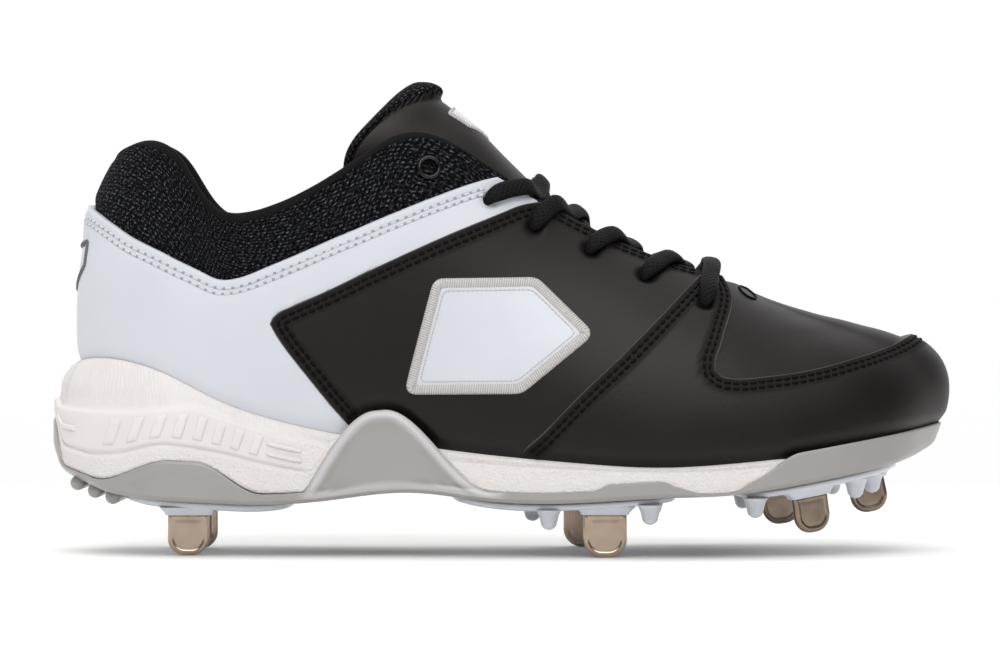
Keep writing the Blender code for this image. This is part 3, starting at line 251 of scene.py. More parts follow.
# painted highlight: loop tops painted light grey, the black yarn elsewhere
painted_loop_highlight = add(tree, "Math", {0: lump, 1: strand}, to=mix, operation="MULTIPLY")
add(tree, "MapRange", {"Value": painted_loop_highlight, "To Min": 0.9, "To Max": 0.38}, to=shader["Roughness"])
height = add(tree, "Math", {0: fibre, 1: 0.5, 2: lump}, operation="MULTIPLY_ADD")
add(tree, "Bump", {"Height": height, "Strength": 1.0, "Distance": 0.0009}, to=shader["Normal"])

lining, tree, shader, coords, mix = new_finish(
    "brushed_nylon_lining", "#030304", "#08080A", 0.8, Specular_IOR_Level=0.12)
nap = add(tree, "TexNoise", {"Vector": coords["Object"], "Scale": per_metre(0.5), "Detail": 3.0}, to=mix)
add(tree, "Bump", {"Height": nap, "Strength": 0.4, "Distance": 0.0003}, to=shader["Normal"])
print("textiles:", knit.name, lining.name)

# %% [markdown]
# **Moulded pieces.** The midsole is compression-moulded EVA foam, matt and warm white with a stippled
# skin; its top band is moulded with fine upright ribs. The outsole is satin grey TPU, and the cleat plates
# are bluish white TPU with a little gloss. Their patterns are finer than a pixel in places, and are drawn
# as coarse as they need to be to show.

# %% Foam and moulded plastics
RIB_PITCH, RIB_WOBBLE = 1.3, 9.0
foam, tree, shader, coords, mix = new_finish(
    "moulded_eva_foam", "#D5CFCD", "#DDD8D6", 0.72, Specular_IOR_Level=0.3)
add(tree, "TexNoise", {"Vector": coords["Object"], "Scale": per_metre(22), "Detail": 2.0}, to=mix)
stipple = add(tree, "TexVoronoi", {"Vector": coords["Object"], "Scale": per_metre(0.8)}, "Distance")
wobble = add(tree, "TexNoise", {"Vector": coords["UV"], "Scale": 0.09, "Detail": 1.0})
along = add(tree, "SeparateXYZ", {0: coords["UV"]})
swing = add(tree, "Math", {0: wobble, 1: RIB_WOBBLE, 2: along}, operation="MULTIPLY_ADD")
wave = add(tree, "Math", {0: swing, 1: 2 * math.pi / RIB_PITCH}, operation="MULTIPLY")
rib = add(tree, "Math", {0: wave}, operation="SINE")
ribbed, stippled = (add(tree, "Attribute", out="Fac", attribute_name=n) for n in ("ribbed", "stippled"))
ribs = add(tree, "Math", {0: rib, 1: ribbed}, operation="MULTIPLY")
spots = add(tree, "Math", {0: stipple, 1: stippled}, operation="MULTIPLY")
height = add(tree, "Math", {0: ribs, 1: 0.22, 2: spots}, operation="MULTIPLY_ADD")
add(tree, "Bump", {"Height": height, "Strength": 0.7, "Distance": 0.00035}, to=shader["Normal"])


def moulded(name, dark, light, border_highlight, roughness, specular, skin_mm, skin_strength):
    """Injection-moulded plastic: two close tones and the fine texture of the mould. The attribute `edge`
    is 1 on a raised border, which is painted paler: a painted highlight."""
    material, tree, shader, coords, mix = new_finish(
        name, dark, light, roughness, border_highlight, Specular_IOR_Level=specular)
    add(tree, "TexNoise", {"Vector": coords["Object"], "Scale": per_metre(20), "Detail": 2.0}, to=mix)
    skin = add(tree, "TexNoise", {"Vector": coords["Object"], "Scale": per_metre(skin_mm), "Detail": 2.0})
    add(tree, "Bump", {"Height": skin, "Strength": skin_strength, "Distance": 0.0002}, to=shader["Normal"])
    return material


# the paler third colour is a painted highlight on the outsole's raised border
grey_tpu = moulded("moulded_tpu_grey", "#918E8C", "#9C9997", "#BEBCBD", 0.34, 0.5, 0.6, 0.12)
white_tpu = moulded("moulded_tpu_white", "#CFD2D9", "#DADDE3", "#E4E6EB", 0.28, 0.5, 1.0, 0.06)
print("moulded:", foam.name, grey_tpu.name, white_tpu.name)

# %% [markdown]
# **Metal, thread and cord.** The spikes are stamped steel with a warm nickel finish that shows fine
# polishing lines. Seams are sewn with bonded nylon thread, two plies twisted, and the lace is a braided
# polyester tube, flattened to an oval.

# %% Steel, enamel, thread and cord
PLY_PITCH, BRAID_PITCH, BRAID_STRANDS = 0.7, 1.7, 10.0


def plated(name, dark, light):
    """Nickel-plated steel: a warm mirror, blurred along the polishing lines and a little tarnished."""
    material, tree, shader, coords, mix = new_finish(name, dark, light, 0.24, Metallic=1.0)
    add(tree, "TexNoise", {"Vector": coords["Object"], "Scale": per_metre(5), "Detail": 3.0}, to=mix)
    upright = add(tree, "Mapping", {"Vector": coords["Object"], "Scale": (1.0, 1.0, 0.08)})
    polish_and_painted_highlight = add(tree, "TexNoise", {"Vector": upright, "Scale": per_metre(0.5), "Detail": 3.0})
    add(tree, "MapRange", {"Value": polish_and_painted_highlight, "To Min": 0.16, "To Max": 0.30}, to=shader["Roughness"])
    add(tree, "Bump", {"Height": polish_and_painted_highlight, "Strength": 0.08, "Distance": 0.0001}, to=shader["Normal"])
    return material


bright_steel = plated("nickel_plated_steel_bright", "#988676", "#C4B1A0")
# a darker copy of the same steel for the toe plate's spikes: painted shade
shaded_steel = plated("nickel_plated_steel_shaded", "#6A5E52", "#A09080")

enamel, tree, shader, coords, mix = new_finish(
    "black_enamelled_brass", "#040405", "#0B0B0C", 0.08, Specular_IOR_Level=0.32)
add(tree, "TexNoise", {"Vector": coords["Object"], "Scale": per_metre(1.5)}, to=mix)


def thread(name, dark, light, roughness, specular):
    """Two-ply sewing thread: slanting plies, read from the UV map in millimetres."""
    material, tree, shader, coords, mix = new_finish(
        name, dark, light, roughness, Specular_IOR_Level=specular)
    part = add(tree, "SeparateXYZ", {0: coords["UV"]}).node.outputs
    slant = add(tree, "Math", {0: part[0], 1: 2 * math.pi / PLY_PITCH, 2: part[1]}, operation="MULTIPLY_ADD")
    ply = add(tree, "Math", {0: slant}, operation="SINE")
    # tone follows the ply relief: lighter crests are a painted highlight, darker grooves painted shade
    share = add(tree, "MapRange", {"Value": ply, "From Min": -1.0}, to=mix)
    add(tree, "Bump", {"Height": share, "Strength": 0.4, "Distance": 0.0001}, to=shader["Normal"])
    return material


black_thread = thread("bonded_nylon_thread_black", "#020202", "#080808", 0.6, 0.1)
white_thread = thread("bonded_nylon_thread_white", "#B4B7BE", "#D4D6DC", 0.5, 0.4)
grey_thread = thread("rayon_embroidery_thread_grey", "#A19D9C", "#C9C6C5", 0.4, 0.5)
dark_thread = thread("rayon_embroidery_thread_dark", "#4E4F53", "#6C6D72", 0.45, 0.4)
# grey tones of the beads at the needle holes: painted shade
needle_shade, tree, shader, coords, mix = new_finish("painted_needle_hole_shade", "#80838B", "#A0A3AB", 0.8)
add(tree, "TexNoise", {"Vector": coords["Object"], "Scale": per_metre(0.4)}, to=mix)

cord, tree, shader, coords, mix = new_finish(
    "braided_polyester_cord", "#010101", "#0B0B0D", 0.6, Specular_IOR_Level=0.14)
part = add(tree, "SeparateXYZ", {0: coords["UV"]}).node.outputs
turns = add(tree, "Math", {0: part[0], 1: 2 * math.pi / BRAID_PITCH}, operation="MULTIPLY")
spread = add(tree, "Math", {0: part[1], 1: BRAID_STRANDS}, operation="MULTIPLY")
strands = [add(tree, "Math", {0: add(tree, "Math", {0: turns, 1: spread}, operation=way)}, operation="SINE")
           for way in ("ADD", "SUBTRACT")]
weave = add(tree, "Math", {0: strands[0], 1: strands[1]}, operation="MAXIMUM")
# tone follows the braid relief: raised strands painted lighter as a highlight, darker between as painted
# shade
share = add(tree, "MapRange", {"Value": weave, "From Min": -0.6}, to=mix)
add(tree, "Bump", {"Height": share, "Strength": 0.6, "Distance": 0.0004}, to=shader["Normal"])
print("metal, thread and cord ready")

# %% [markdown]
# ## The last
# A shoe is built on a last, a solid foot. Here it is a function of two numbers. `station` runs once round
# the foot: 0 at the back of the heel, 15 at the toe, then back along the inner side to 30. `share` climbs
# from 0 at the feather line, where the upper meets the sole, to 1 at the collar and throat. The table has
# one row for each station, in millimetres, and both sides of the foot share it.

# %% Tables of the last and the sole
SECTION_COLUMNS = (
    "x", "lateral_y", "medial_y", "feather_z", "top_x", "top_lateral_y", "top_medial_y", "top_z",
    "rise", "bulge", "drop", "reach", "padding", "under", "rim", "seam_low", "seam_high", "flange",
)
SECTIONS = np.array([
    (-127, 0, 0, 38, -118.5, 0, 0, 121.5, 28, 6.5, 20, 14, 1.0, 22, 59, 31.5, 46, 12.5),
    (-120.3, -17.5, 17.5, 38, -112.5, -12.5, 12.5, 124.5, 28, 6, 20, 12, 1.0, 19.5, 60.3, 31.2, 45, 10.4),
    (-105, -28, 28, 37.5, -100.5, -21, 21, 120, 28, 5, 24, 8, 1.0, 17.2, 57, 32.2, 45, 7.8),
    (-90, -30.5, 30, 37, -91.5, -25, 25, 107, 26, 5, 22, 5, 1.0, 16.4, 49.3, 32.6, 46, 6.8),
    (-74, -31.5, 29, 36, -81, -27.5, 27.5, 101.2, 25, 5, 20, 4, 1.0, 15.8, 43, 29, 41.5, 6.4),
    (-55, -32.5, 27, 34.5, -62, -29, 29, 107.2, 26, 5, 22, 3, 1.0, 17, 38.3, 25.5, 35, 6.1),
    (-38, -34, 26, 32.5, -43, -30, 30, 119.2, 28, 5, 26, 3, 0.8, 19.2, 35.6, 24.5, 31, 6.0),
    (-22, -36, 26.5, 30.5, -24, -28.5, 28.5, 126.6, 30, 5, 28, 6, 0.5, 19.3, 33.4, 24.2, 30, 6.0),
    (-2, -38.5, 29.5, 28, 0.5, -21.5, 21.5, 115, 30, 5, 20, 11, 0.2, 16.9, 31, 24, 28.5, 5.7),
    (22, -42, 35, 26, 22, -16.5, 16.5, 102, 28, 5, 13, 14, 0.0, 16.8, 28.9, 23.5, 27, 5.5),
    (46, -44, 41, 25, 44, -14, 14, 91.2, 24, 5, 8, 17, 0.0, 18.2, 27.6, 24, 26.3, 5.4),
    (70, -42, 44, 26, 62, -11, 12, 85.4, 22, 6, 7, 18, 0.0, 19.3, 28.9, 23.5, 27, 5.2),
    (94.5, -36, 42, 29, 70.5, -6.5, 8, 83.4, 21, 6.5, 10, 20, 0.0, 23, 31.5, 28, 30, 4.4),
    (116, -23.5, 34, 33.5, 72.5, -2.5, 5, 82.8, 27, 9.5, 14, 23, 0.0, 27.2, 35.3, 32, 34, 3.8),
    (128.3, -6, 22, 37, 73.2, 0, 3.5, 82.5, 33, 12.5, 16, 27, 0.0, 31, 38.3, 35.5, 37, 3.4),
    (133.8, 8, 8, 38.5, 73.5, 1.5, 1.5, 82.4, 36, 14.5, 16, 29, 0.0, 33.6, 39.3, 37.5, 38.4, 3.2),
])


def around(lateral, medial):
    """Values heel to toe on the lateral side, then toe to heel on the medial side, as one ring."""
    return np.concatenate([lateral, medial[-2:0:-1]])


RINGS = {name: around(values, values) for name, values in zip(SECTION_COLUMNS, SECTIONS.T)}
RINGS["y"] = around(SECTIONS[:, 1], SECTIONS[:, 2])
RINGS["top_y"] = around(SECTIONS[:, 5], SECTIONS[:, 6])
STATIONS = len(RINGS["x"])
TOE_STATION = STATIONS // 2
neighbours = np.roll(np.eye(STATIONS), 1, 1) + np.roll(np.eye(STATIONS), -1, 1)
SLOPES = {
    name: np.linalg.solve(4.0 * np.eye(STATIONS) + neighbours, 3.0 * (np.roll(v, -1) - np.roll(v, 1)))
    for name, v in RINGS.items()
}
print("stations round the foot:", STATIONS)


# %% The last as a surface
STEP = 1e-3


def smooth_step(value, low, high):
    """0 below low, 1 above high, and 3t^2 - 2t^3 between."""
    t = np.clip((value - low) / (high - low), 0.0, 1.0)
    return t * t * (3.0 - 2.0 * t)


def bell(value, middle, width, power=2):
    """1 at the middle, falling off as exp(-((value - middle) / width) ** power)."""
    return np.exp(-(((value - middle) / width) ** power))


def quarter_circle(value):
    """Height of a quarter circle: sqrt(1 - t^2), with t held between 0 and 1."""
    return np.sqrt(1 - np.clip(value, 0.0, 1.0) ** 2)


def unit(vectors):
    """Vectors scaled to a length of 1."""
    return vectors / np.linalg.norm(vectors, axis=-1, keepdims=True)


def hermite(a, b, slope_a, slope_b, s):
    """Cubic from a to b that leaves and arrives with the given slopes, at a share s of the way."""
    return (a * (1 + 2 * s) * (1 - s) ** 2 + slope_a * s * (1 - s) ** 2
            + b * s * s * (3 - 2 * s) + slope_b * s * s * (s - 1))


def column(name, station):
    """Closed cubic spline through one column of the table, read at any station."""
    values, slopes = RINGS[name], SLOPES[name]
    station = np.asarray(station, float)
    first = np.floor(station).astype(int) % STATIONS
    second = (first + 1) % STATIONS
    s = station - np.floor(station)
    return hermite(values[first], values[second], slopes[first], slopes[second], s)


def outward(station):
    """Unit normal of the feather line in plan: its tangent turned by a right angle."""
    along_x, along_y = (column(axis, station + STEP) - column(axis, station - STEP) for axis in "xy")
    return unit(np.stack([along_y, -along_x, np.zeros_like(along_x)], -1))


def last_point(station, share):
    """Cubic Bezier arc from the feather line to the top line: it leaves the feather up and outwards by
    rise and bulge, and comes into the top line from below and outside by drop and reach."""
    station, share = np.broadcast_arrays(np.asarray(station, float), np.asarray(share, float))
    up, out = np.array([0.0, 0.0, 1.0]), outward(station)
    feather = np.stack([column(name, station) for name in ("x", "y", "feather_z")], -1)
    top = np.stack([column(name, station) for name in ("top_x", "top_y", "top_z")], -1)
    low = feather + out * column("bulge", station)[..., None] + up * column("rise", station)[..., None]
    high = top + out * column("reach", station)[..., None] - up * column("drop", station)[..., None]
    s = share[..., None]
    return feather * (1 - s) ** 3 + 3 * low * s * (1 - s) ** 2 + 3 * high * s**2 * (1 - s) + top * s**3


def last_slopes(station, share):
    """How the point moves for one station and for one share, by central differences."""
    along = last_point(station + STEP, share) - last_point(station - STEP, share)
    climb = last_point(station, share + STEP) - last_point(station, share - STEP)
    return along / (2 * STEP), climb / (2 * STEP)


def last_normal(station, share):
    """Outward unit normal: the cross product of the two slopes."""
    return unit(np.cross(*last_slopes(station, share)))


def wall_point(station, share, lift):
    """Point lifted off the last along its normal, in millimetres; below zero is inside."""
    station, share = np.broadcast_arrays(np.asarray(station, float), np.asarray(share, float))
    return last_point(station, share) + last_normal(station, share) * np.asarray(lift)[..., None]


def share_at_height(station, height):
    """Share at which each station reaches a height: twenty halvings of the lower arc."""
    low, high = np.zeros(np.shape(station)), np.full(np.shape(station), 0.6)
    for _ in range(20):
        middle = 0.5 * (low + high)
        below = last_point(station, middle)[..., 2] < height
        low, high = np.where(below, middle, low), np.where(below, high, middle)
    return 0.5 * (low + high)


print("toe tip of the last, mm:", last_point(TOE_STATION, 0.0).round(1))

# %% [markdown]
# ## From arrays to meshes
# Every piece is one or more closed shells. A shell is an array of points and an array of quads. Its signed
# volume tells whether the quads face outwards; if not, they are turned. A ring that meets itself repeats
# its first column, so that the UV map has a seam there, and the doubles are merged at the end.


# %% Mesh helpers
def together(*coordinates):
    """Arrays whose shapes go together, stacked as the coordinates of points."""
    return np.stack(np.broadcast_arrays(*coordinates), -1)


def grid_quads(rows, columns, wrap_rows=False, wrap_columns=False):
    """Corner numbers of the quads of a grid of points that is stored row by row."""
    i = np.arange(rows if wrap_rows else rows - 1)[:, None]
    j = np.arange(columns if wrap_columns else columns - 1)[None, :]
    i2, j2 = (i + 1) % rows, (j + 1) % columns
    corners = (i * columns + j, i * columns + j2, i2 * columns + j2, i2 * columns + j)
    return together(*corners).reshape(-1, 4)


def volume(points, quads):
    """Signed volume of a closed shell: the sum of the tetrahedra from the middle to each triangle."""
    a, b, c, d = (points[quads[:, k]] - points.mean(0) for k in range(4))
    return float((np.cross(a, b) * c).sum() + (np.cross(a, c) * d).sum()) / 6.0


def shell(points, quads, uv=None, finish=None, **traits):
    """One closed shell with its quads turned outwards; finish is a slot number for each quad."""
    points = np.asarray(points, float).reshape(-1, 3)
    turned = quads[:, ::-1] if volume(points, quads) < 0 else quads
    uv = np.zeros((len(points), 2)) if uv is None else np.asarray(uv, float).reshape(-1, 2)
    finish = np.zeros(len(quads), int) if finish is None else np.asarray(finish).ravel()
    traits = {name: np.asarray(values, float).ravel() for name, values in traits.items()}
    return {"points": points, "quads": turned, "uv": uv, "finish": finish, "traits": traits}


def tube_shell(points, uv=None, finish=None):
    """Shell of a grid of points whose rows are rings."""
    return shell(points, grid_quads(*points.shape[:2], wrap_columns=True), uv, finish)


def closed_sheet(face, back):
    """Points and quads of a sheet: its face and back grids, joined round all four borders."""
    points = np.concatenate([face, back[:, ::-1]], axis=1)
    rows, columns = points.shape[:2]
    j = np.arange(face.shape[1] - 1)
    first, last = (np.stack([k + j, k + j + 1, k + columns - 2 - j, k + columns - 1 - j], -1)
                   for k in (0, (rows - 1) * columns))
    return points, np.concatenate([grid_quads(rows, columns, wrap_columns=True), first[:, ::-1], last])


def both_faces(values, back=None):
    """Values of a sheet's face, followed by those of its back, in the order of its points."""
    return np.concatenate([values, values[:, ::-1] if back is None else np.full_like(values, back)], axis=1)


def copies(one, moved):
    """Many shells of one make: moved holds the points of each copy, one row of points to a copy."""
    count, size = moved.shape[:2]
    first = shell(moved[0], one)
    quads = (first["quads"][None] + (np.arange(count) * size)[:, None, None]).reshape(-1, 4)
    return {"points": moved.reshape(-1, 3), "quads": quads, "uv": np.zeros((count * size, 2)),
            "finish": np.zeros(len(quads), int), "traits": {}}


def make_piece(name, shells, finishes, replaced=(), slot=None):
    """Joins shells into one mesh object on the shoe's body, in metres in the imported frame."""
    offsets = np.cumsum([0] + [len(s["points"]) for s in shells[:-1]])
    points = np.concatenate([s["points"] for s in shells])
    quads = np.concatenate([s["quads"] + o for s, o in zip(shells, offsets)]).astype(np.int32)
    uv = np.concatenate([s["uv"] for s in shells])
    mesh = bpy.data.meshes.new(name)
    mesh.vertices.add(len(points))
    mesh.vertices.foreach_set("co", ((points + SHIFT) * MM).astype(np.float32).ravel())
    mesh.loops.add(quads.size)
    mesh.loops.foreach_set("vertex_index", quads.ravel())
    mesh.polygons.add(len(quads))
    mesh.polygons.foreach_set("loop_start", np.arange(0, quads.size, 4, dtype=np.int32))
    mesh.polygons.foreach_set(
        "material_index", np.concatenate([s["finish"] for s in shells]).astype(np.int32))
    mesh.update(calc_edges=True)
    mesh.uv_layers.new(name="surface").data.foreach_set("uv", uv[quads.ravel()].astype(np.float32).ravel())
    for trait in sorted({t for s in shells for t in s["traits"]}):
        values = [s["traits"].get(trait, np.zeros(len(s["points"]))) for s in shells]
        mesh.attributes.new(trait, "FLOAT", "POINT").data.foreach_set(
            "value", np.concatenate(values).astype(np.float32))
    for finish in finishes:
        mesh.materials.append(finish)
    work = bmesh.new()
    work.from_mesh(mesh)
    bmesh.ops.remove_doubles(work, verts=work.verts, dist=2e-6)
    work.to_mesh(mesh)
    work.free()
    mesh.shade_smooth()
    piece = bpy.data.objects.new(name, mesh)
    bpy.context.scene.collection.objects.link(piece)
    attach(piece, "root")
    if replaced:
        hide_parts(*replaced)
    print(f"{name}: {len(mesh.vertices)} points, {len(mesh.polygons)} faces")
    return piece


def run_along(chain):
    """Distance along a chain of points, from 0 at its start."""
    return np.concatenate([[0.0], np.cumsum(np.linalg.norm(np.diff(chain, axis=0), axis=1))])


def read_at(where, run, values):
    """Rows of values read at distances along a path."""
    return np.stack([np.interp(where, run, one) for one in values.T], -1)


def resample(chain, step=None, count=None):
    """Points evenly spaced along a chain of straight runs: a number of them, or about a step apart."""
    run = run_along(chain)
    count = count or max(2, int(round(run[-1] / step)) + 1)
    return read_at(np.linspace(0.0, run[-1], count), run, chain)


def smooth_path(points, count):
    """Evenly spaced points along a cubic curve through the given ones, its slopes by differences."""
    points = np.asarray(points, float)
    knots = run_along(points)
    slopes = np.gradient(points, knots, axis=0)
    at = np.linspace(0.0, knots[-1], 40 * len(points))
    i = np.clip(np.searchsorted(knots, at, side="right") - 1, 0, len(points) - 2)
    gap = (knots[i + 1] - knots[i])[:, None]
    s = (at - knots[i])[:, None] / gap
    fine = hermite(points[i], points[i + 1], slopes[i] * gap, slopes[i + 1] * gap, s)
    return resample(fine, count=count)


def distance_to(points, chain):
    """Distance from every point to the nearest point of a chain, in blocks that fit in memory."""
    flat = points.reshape(-1, 3)
    found = np.empty(len(flat))
    block = max(1, int(6e6 // len(chain)))
    for start in range(0, len(flat), block):
        part = flat[start : start + block]
        square = (part**2).sum(1)[:, None] + (chain**2).sum(1)[None] - 2 * part @ chain.T
        found[start : start + block] = np.sqrt(np.maximum(square.min(1), 0.0))
    return found.reshape(points.shape[:-1])


# %% [markdown]
# ## The upper
# The upper is one hollow wall, open below and down the throat. Its outside is knitted mesh round the
# collar, and black leather on the vamp, where no panel covers it; its rim and inside are lined. The collar
# is padded with foam, so the wall is thick there. Two soft flex creases cross the vamp, and the knit
# puckers a little in the dip under the ankle.

# %% Upper wall
UPPER_WALL, COLLAR_PADDING, THROAT_SHARE = 2.2, 4.6, 0.975
FLEX_CREASES = ((0.60, 0.045, 0.16), (0.74, 0.04, 0.12))
COLLAR_SEAM = (
    (0, 0.79), (0.5, 0.747), (1.02, 0.687), (1.4, 0.653), (2.15, 0.646), (3.1, 0.691), (3.6, 0.704),
    (4.03, 0.728), (4.53, 0.763), (4.98, 0.778), (5.45, 0.779), (5.95, 0.769), (6.3, 0.764), (6.63, 0.767),
    (6.93, 0.784), (7.2, 0.816), (7.44, 0.86), (7.62, 0.902), (7.92, 0.985),
)
LAST_METRIC = np.array([18.0, 85.0])


def edge_curve(table, count=400):
    """Smooth line through (station, share) rows, evenly spaced over the last."""
    return smooth_path(np.asarray(table, float) * LAST_METRIC, count) / LAST_METRIC


def folded(station):
    """Station counted from the heel on both sides of the foot."""
    return np.minimum(station % STATIONS, STATIONS - station % STATIONS)


collar_seam = edge_curve(COLLAR_SEAM)


def collar_line(station):
    """Share of the collar seam at a station, and the throat edge beyond it."""
    return np.interp(folded(station), collar_seam[:, 0], collar_seam[:, 1], right=THROAT_SHARE)


def wall_thickness(station, share):
    """Leather wall, thicker where foam pads the collar."""
    padding = np.clip(column("padding", station), 0.0, 1.0)
    return UPPER_WALL + COLLAR_PADDING * padding * smooth_step(share, 0.5, 0.85)


def upper_relief(station, share):
    """Soft forms of the wall, in mm: two flex creases over the vamp, the padded collar that stands level
    with the leather below it, a rolled edge under its binding, and puckers in the ankle dip."""
    near = folded(station)
    seam = collar_line(station)
    padded = (1.35 + 0.5 * (1 - smooth_step(near, 0.5, 2.5))) * smooth_step(share, seam - 0.03, seam + 0.05)
    padded = padded * (1 - smooth_step(near, 7.3, 7.9))
    crease = np.zeros_like(near)
    for middle, width, depth in FLEX_CREASES:
        crease -= depth * bell(share, middle, width) * smooth_step(near, 11.6, 13.5)
    binding = -0.4 * bell(share, 0.978, 0.008) * (1 - smooth_step(near, 7.2, 8.0))
    pucker = 0.22 * np.sin(near * 14.0) * bell(near, 4.0, 0.9) * smooth_step(share, 0.75, 0.97)
    return crease + padded + binding + pucker


WALL_COLUMNS, OUTSIDE_ROWS, RIM_ROWS, INSIDE_ROWS = 360, 70, 9, 24
station = np.linspace(0.0, STATIONS, WALL_COLUMNS + 1)[None, :]
share = np.linspace(0.0, 1.0, OUTSIDE_ROWS)[:, None]
outside = wall_point(station, share, upper_relief(*np.broadcast_arrays(station, share)))
inner_share = np.linspace(1.0, 0.0, INSIDE_ROWS)[:, None]
inside = wall_point(station, inner_share, -wall_thickness(*np.broadcast_arrays(station, inner_share)))
climb = unit(outside[-1] - outside[-3])
turn = np.linspace(0.0, 1.0, RIM_ROWS + 2)[1:-1, None, None]
rim_rise = climb[None] * (0.55 * wall_thickness(station[0], 1.0))[None, :, None]
rim = outside[-1] * (1 - turn) + inside[0] * turn + rim_rise * np.sin(np.pi * turn)
wall = np.concatenate([outside, rim, inside])
rows, columns = wall.shape[:2]
RIM_TOP, BINDING_FROM = 1.06, 0.988
row_share = np.concatenate(
    [share[:, 0], np.linspace(1.0, RIM_TOP, RIM_ROWS), RIM_TOP + 1.0 - inner_share[:, 0]])
uv = together(station * LAST_METRIC[0], row_share[:, None] * LAST_METRIC[1])
quad_row = np.repeat(np.arange(rows), columns - 1)
quad_station = np.tile(0.5 * (station[0, 1:] + station[0, :-1]), rows)
on_collar = (row_share[quad_row] > collar_line(quad_station) - 0.06) & (folded(quad_station) < 8.6)
bound = row_share[quad_row] > BINDING_FROM
in_shoe = quad_row >= OUTSIDE_ROWS + RIM_ROWS // 2
KNIT, LEATHER, LINING = 0, 1, 2
slot_number = np.where(in_shoe | (on_collar & bound), LINING, np.where(on_collar, KNIT, LEATHER))
make_piece(
    "upper_wall", [shell(wall, grid_quads(rows, columns, wrap_rows=True), uv, slot_number)],
    [knit, black_leather, lining], ["upper"], "black_leather",
)

# %% [markdown]
# ## Leather panels
# A panel is a sheet of leather up to 2 mm thick, skived and rolled at its edges. It is a grid between a
# lower and an upper line on the last. The lift of its face off the last depends on the distance to the
# sheet's border: a quarter circle, so the edge is round. The sheet dips where a row of stitches pulls it
# down, and at the laced holes, and tucks in where it goes under the rim of the sole.

# %% Panel lines and the rim of the sole
QUARTER_UPPER_EDGE = (
    (4.37, 0.497), (4.48, 0.534), (4.58, 0.55), (4.74, 0.563), (4.9, 0.573), (5.22, 0.588), (5.55, 0.599),
    (5.9, 0.608), (6.26, 0.614), (6.61, 0.625), (6.93, 0.646), (7.2, 0.677), (7.46, 0.719), (7.7, 0.768),
    (7.94, 0.828), (8.18, 0.899), (8.5, 0.985),
)
QUARTER_REAR_EDGE = ((4.37, 0.497), (4.45, 0.437), (4.75, 0.293), (5.18, 0.147), (5.53, 0.06), (5.7, 0.01))
TOE_GUARD_REAR_EDGE = (
    (10.9, 0.98), (10.73, 0.903), (10.1, 0.623), (9.58, 0.43), (9.05, 0.267), (8.62, 0.137), (8.3, 0.047),
    (8.2, 0.0),
)
TOE_GUARD_VAMP_EDGE = (
    (11.38, 0.98), (11.4, 0.883), (11.37, 0.802), (11.29, 0.75), (11.05, 0.62), (10.92, 0.537),
    (10.79, 0.445), (10.78, 0.42), (10.82, 0.402), (10.93, 0.393), (11.18, 0.393), (11.43, 0.403),
    (12.03, 0.418), (12.53, 0.422), (13.35, 0.422), (14.13, 0.422), (14.6, 0.425), (15, 0.428),
)
TOE_GUARD_BEND = np.array([10.82, 0.402])
LACE_HOLES = np.array([(10.75, 0.723), (9.93, 0.803), (9.2, 0.837), (8.4, 0.833), (7.8, 0.857)])
TOP_EYELET = (7.05, 0.897)
# each hump: foot and crown at its back, crown and foot at its front (all x), height, power of the sine
HUMPS = {
    "heel_wrap": (-141, -140, -126.9, -124.0, 17.0, 1),
    "heel_flank": (-122, -99, -93, -72, 9.6, 2),
    "arch_wing": (-60, -38.5, -35.5, -3.0, 22.4, 1),
    "ball_step": (27, 32, 47, 52, 2.2, 2),
    "flex_notch": (50, 57, 69, 73, -2.8, 2),
}
OUTSOLE_EDGE = 3.0
TOE_WRAP_FROM, TOE_WRAP_FULL, TOE_WRAP_HEIGHT, TOE_WRAP_SLOPE = 71, 88, 32.0, 0.175
quarter_upper, quarter_rear = edge_curve(QUARTER_UPPER_EDGE), edge_curve(QUARTER_REAR_EDGE)
guard_rear, guard_vamp = edge_curve(TOE_GUARD_REAR_EDGE), edge_curve(TOE_GUARD_VAMP_EDGE)


def outsole_edge(station):
    """Height of the outsole's upper edge: a low wall, humps that climb on a power of a quarter sine and
    fall on a smooth step, and the wrap over the toe."""
    x = column("x", station)
    edge = column("under", station) + OUTSOLE_EDGE
    for foot_back, crown_back, crown_front, foot_front, height, power in HUMPS.values():
        rising = np.sin(0.5 * np.pi * np.clip((x - foot_back) / (crown_back - foot_back), 0, 1)) ** power
        edge = edge + height * rising * (1 - smooth_step(x, crown_front, foot_front))
    wrap = TOE_WRAP_HEIGHT + TOE_WRAP_SLOPE * (x - TOE_WRAP_FULL)
    return edge + (wrap - edge) * smooth_step(x, TOE_WRAP_FROM, TOE_WRAP_FULL)


def sole_rim(station):
    """Height at which the upper comes out of the sole."""
    return np.maximum(column("rim", station), outsole_edge(station))


def sole_share(station):
    """Share a little below the sole's rim, where panels end out of sight."""
    return share_at_height(station, sole_rim(station) - 2.5)


print("rim of the sole at the heel and toe, mm:", sole_rim(np.array([0, TOE_STATION])).round(1))


# %% Panel maker
EDGE_MARKS = np.array([0.0, 0.1, 0.22, 0.4, 0.65, 0.95, 1.4, 2.0])
EDGE_ROUND, PANEL_LOW, MID_SHEET, SKIVED = 0.8, 0.15, 0.7, 0.45
SEAM_DEPTH, SEAM_WIDTH, HOLE_DEPTH, HOLE_WIDTH = 0.26, 0.6, 1.1, 2.7
STITCH_INSETS, VAMP_INSETS, COLLAR_INSETS, THROAT_INSETS = (2.3, 4.1), (1.9, 3.6), (2.8, 4.5), (2.0, 3.9)


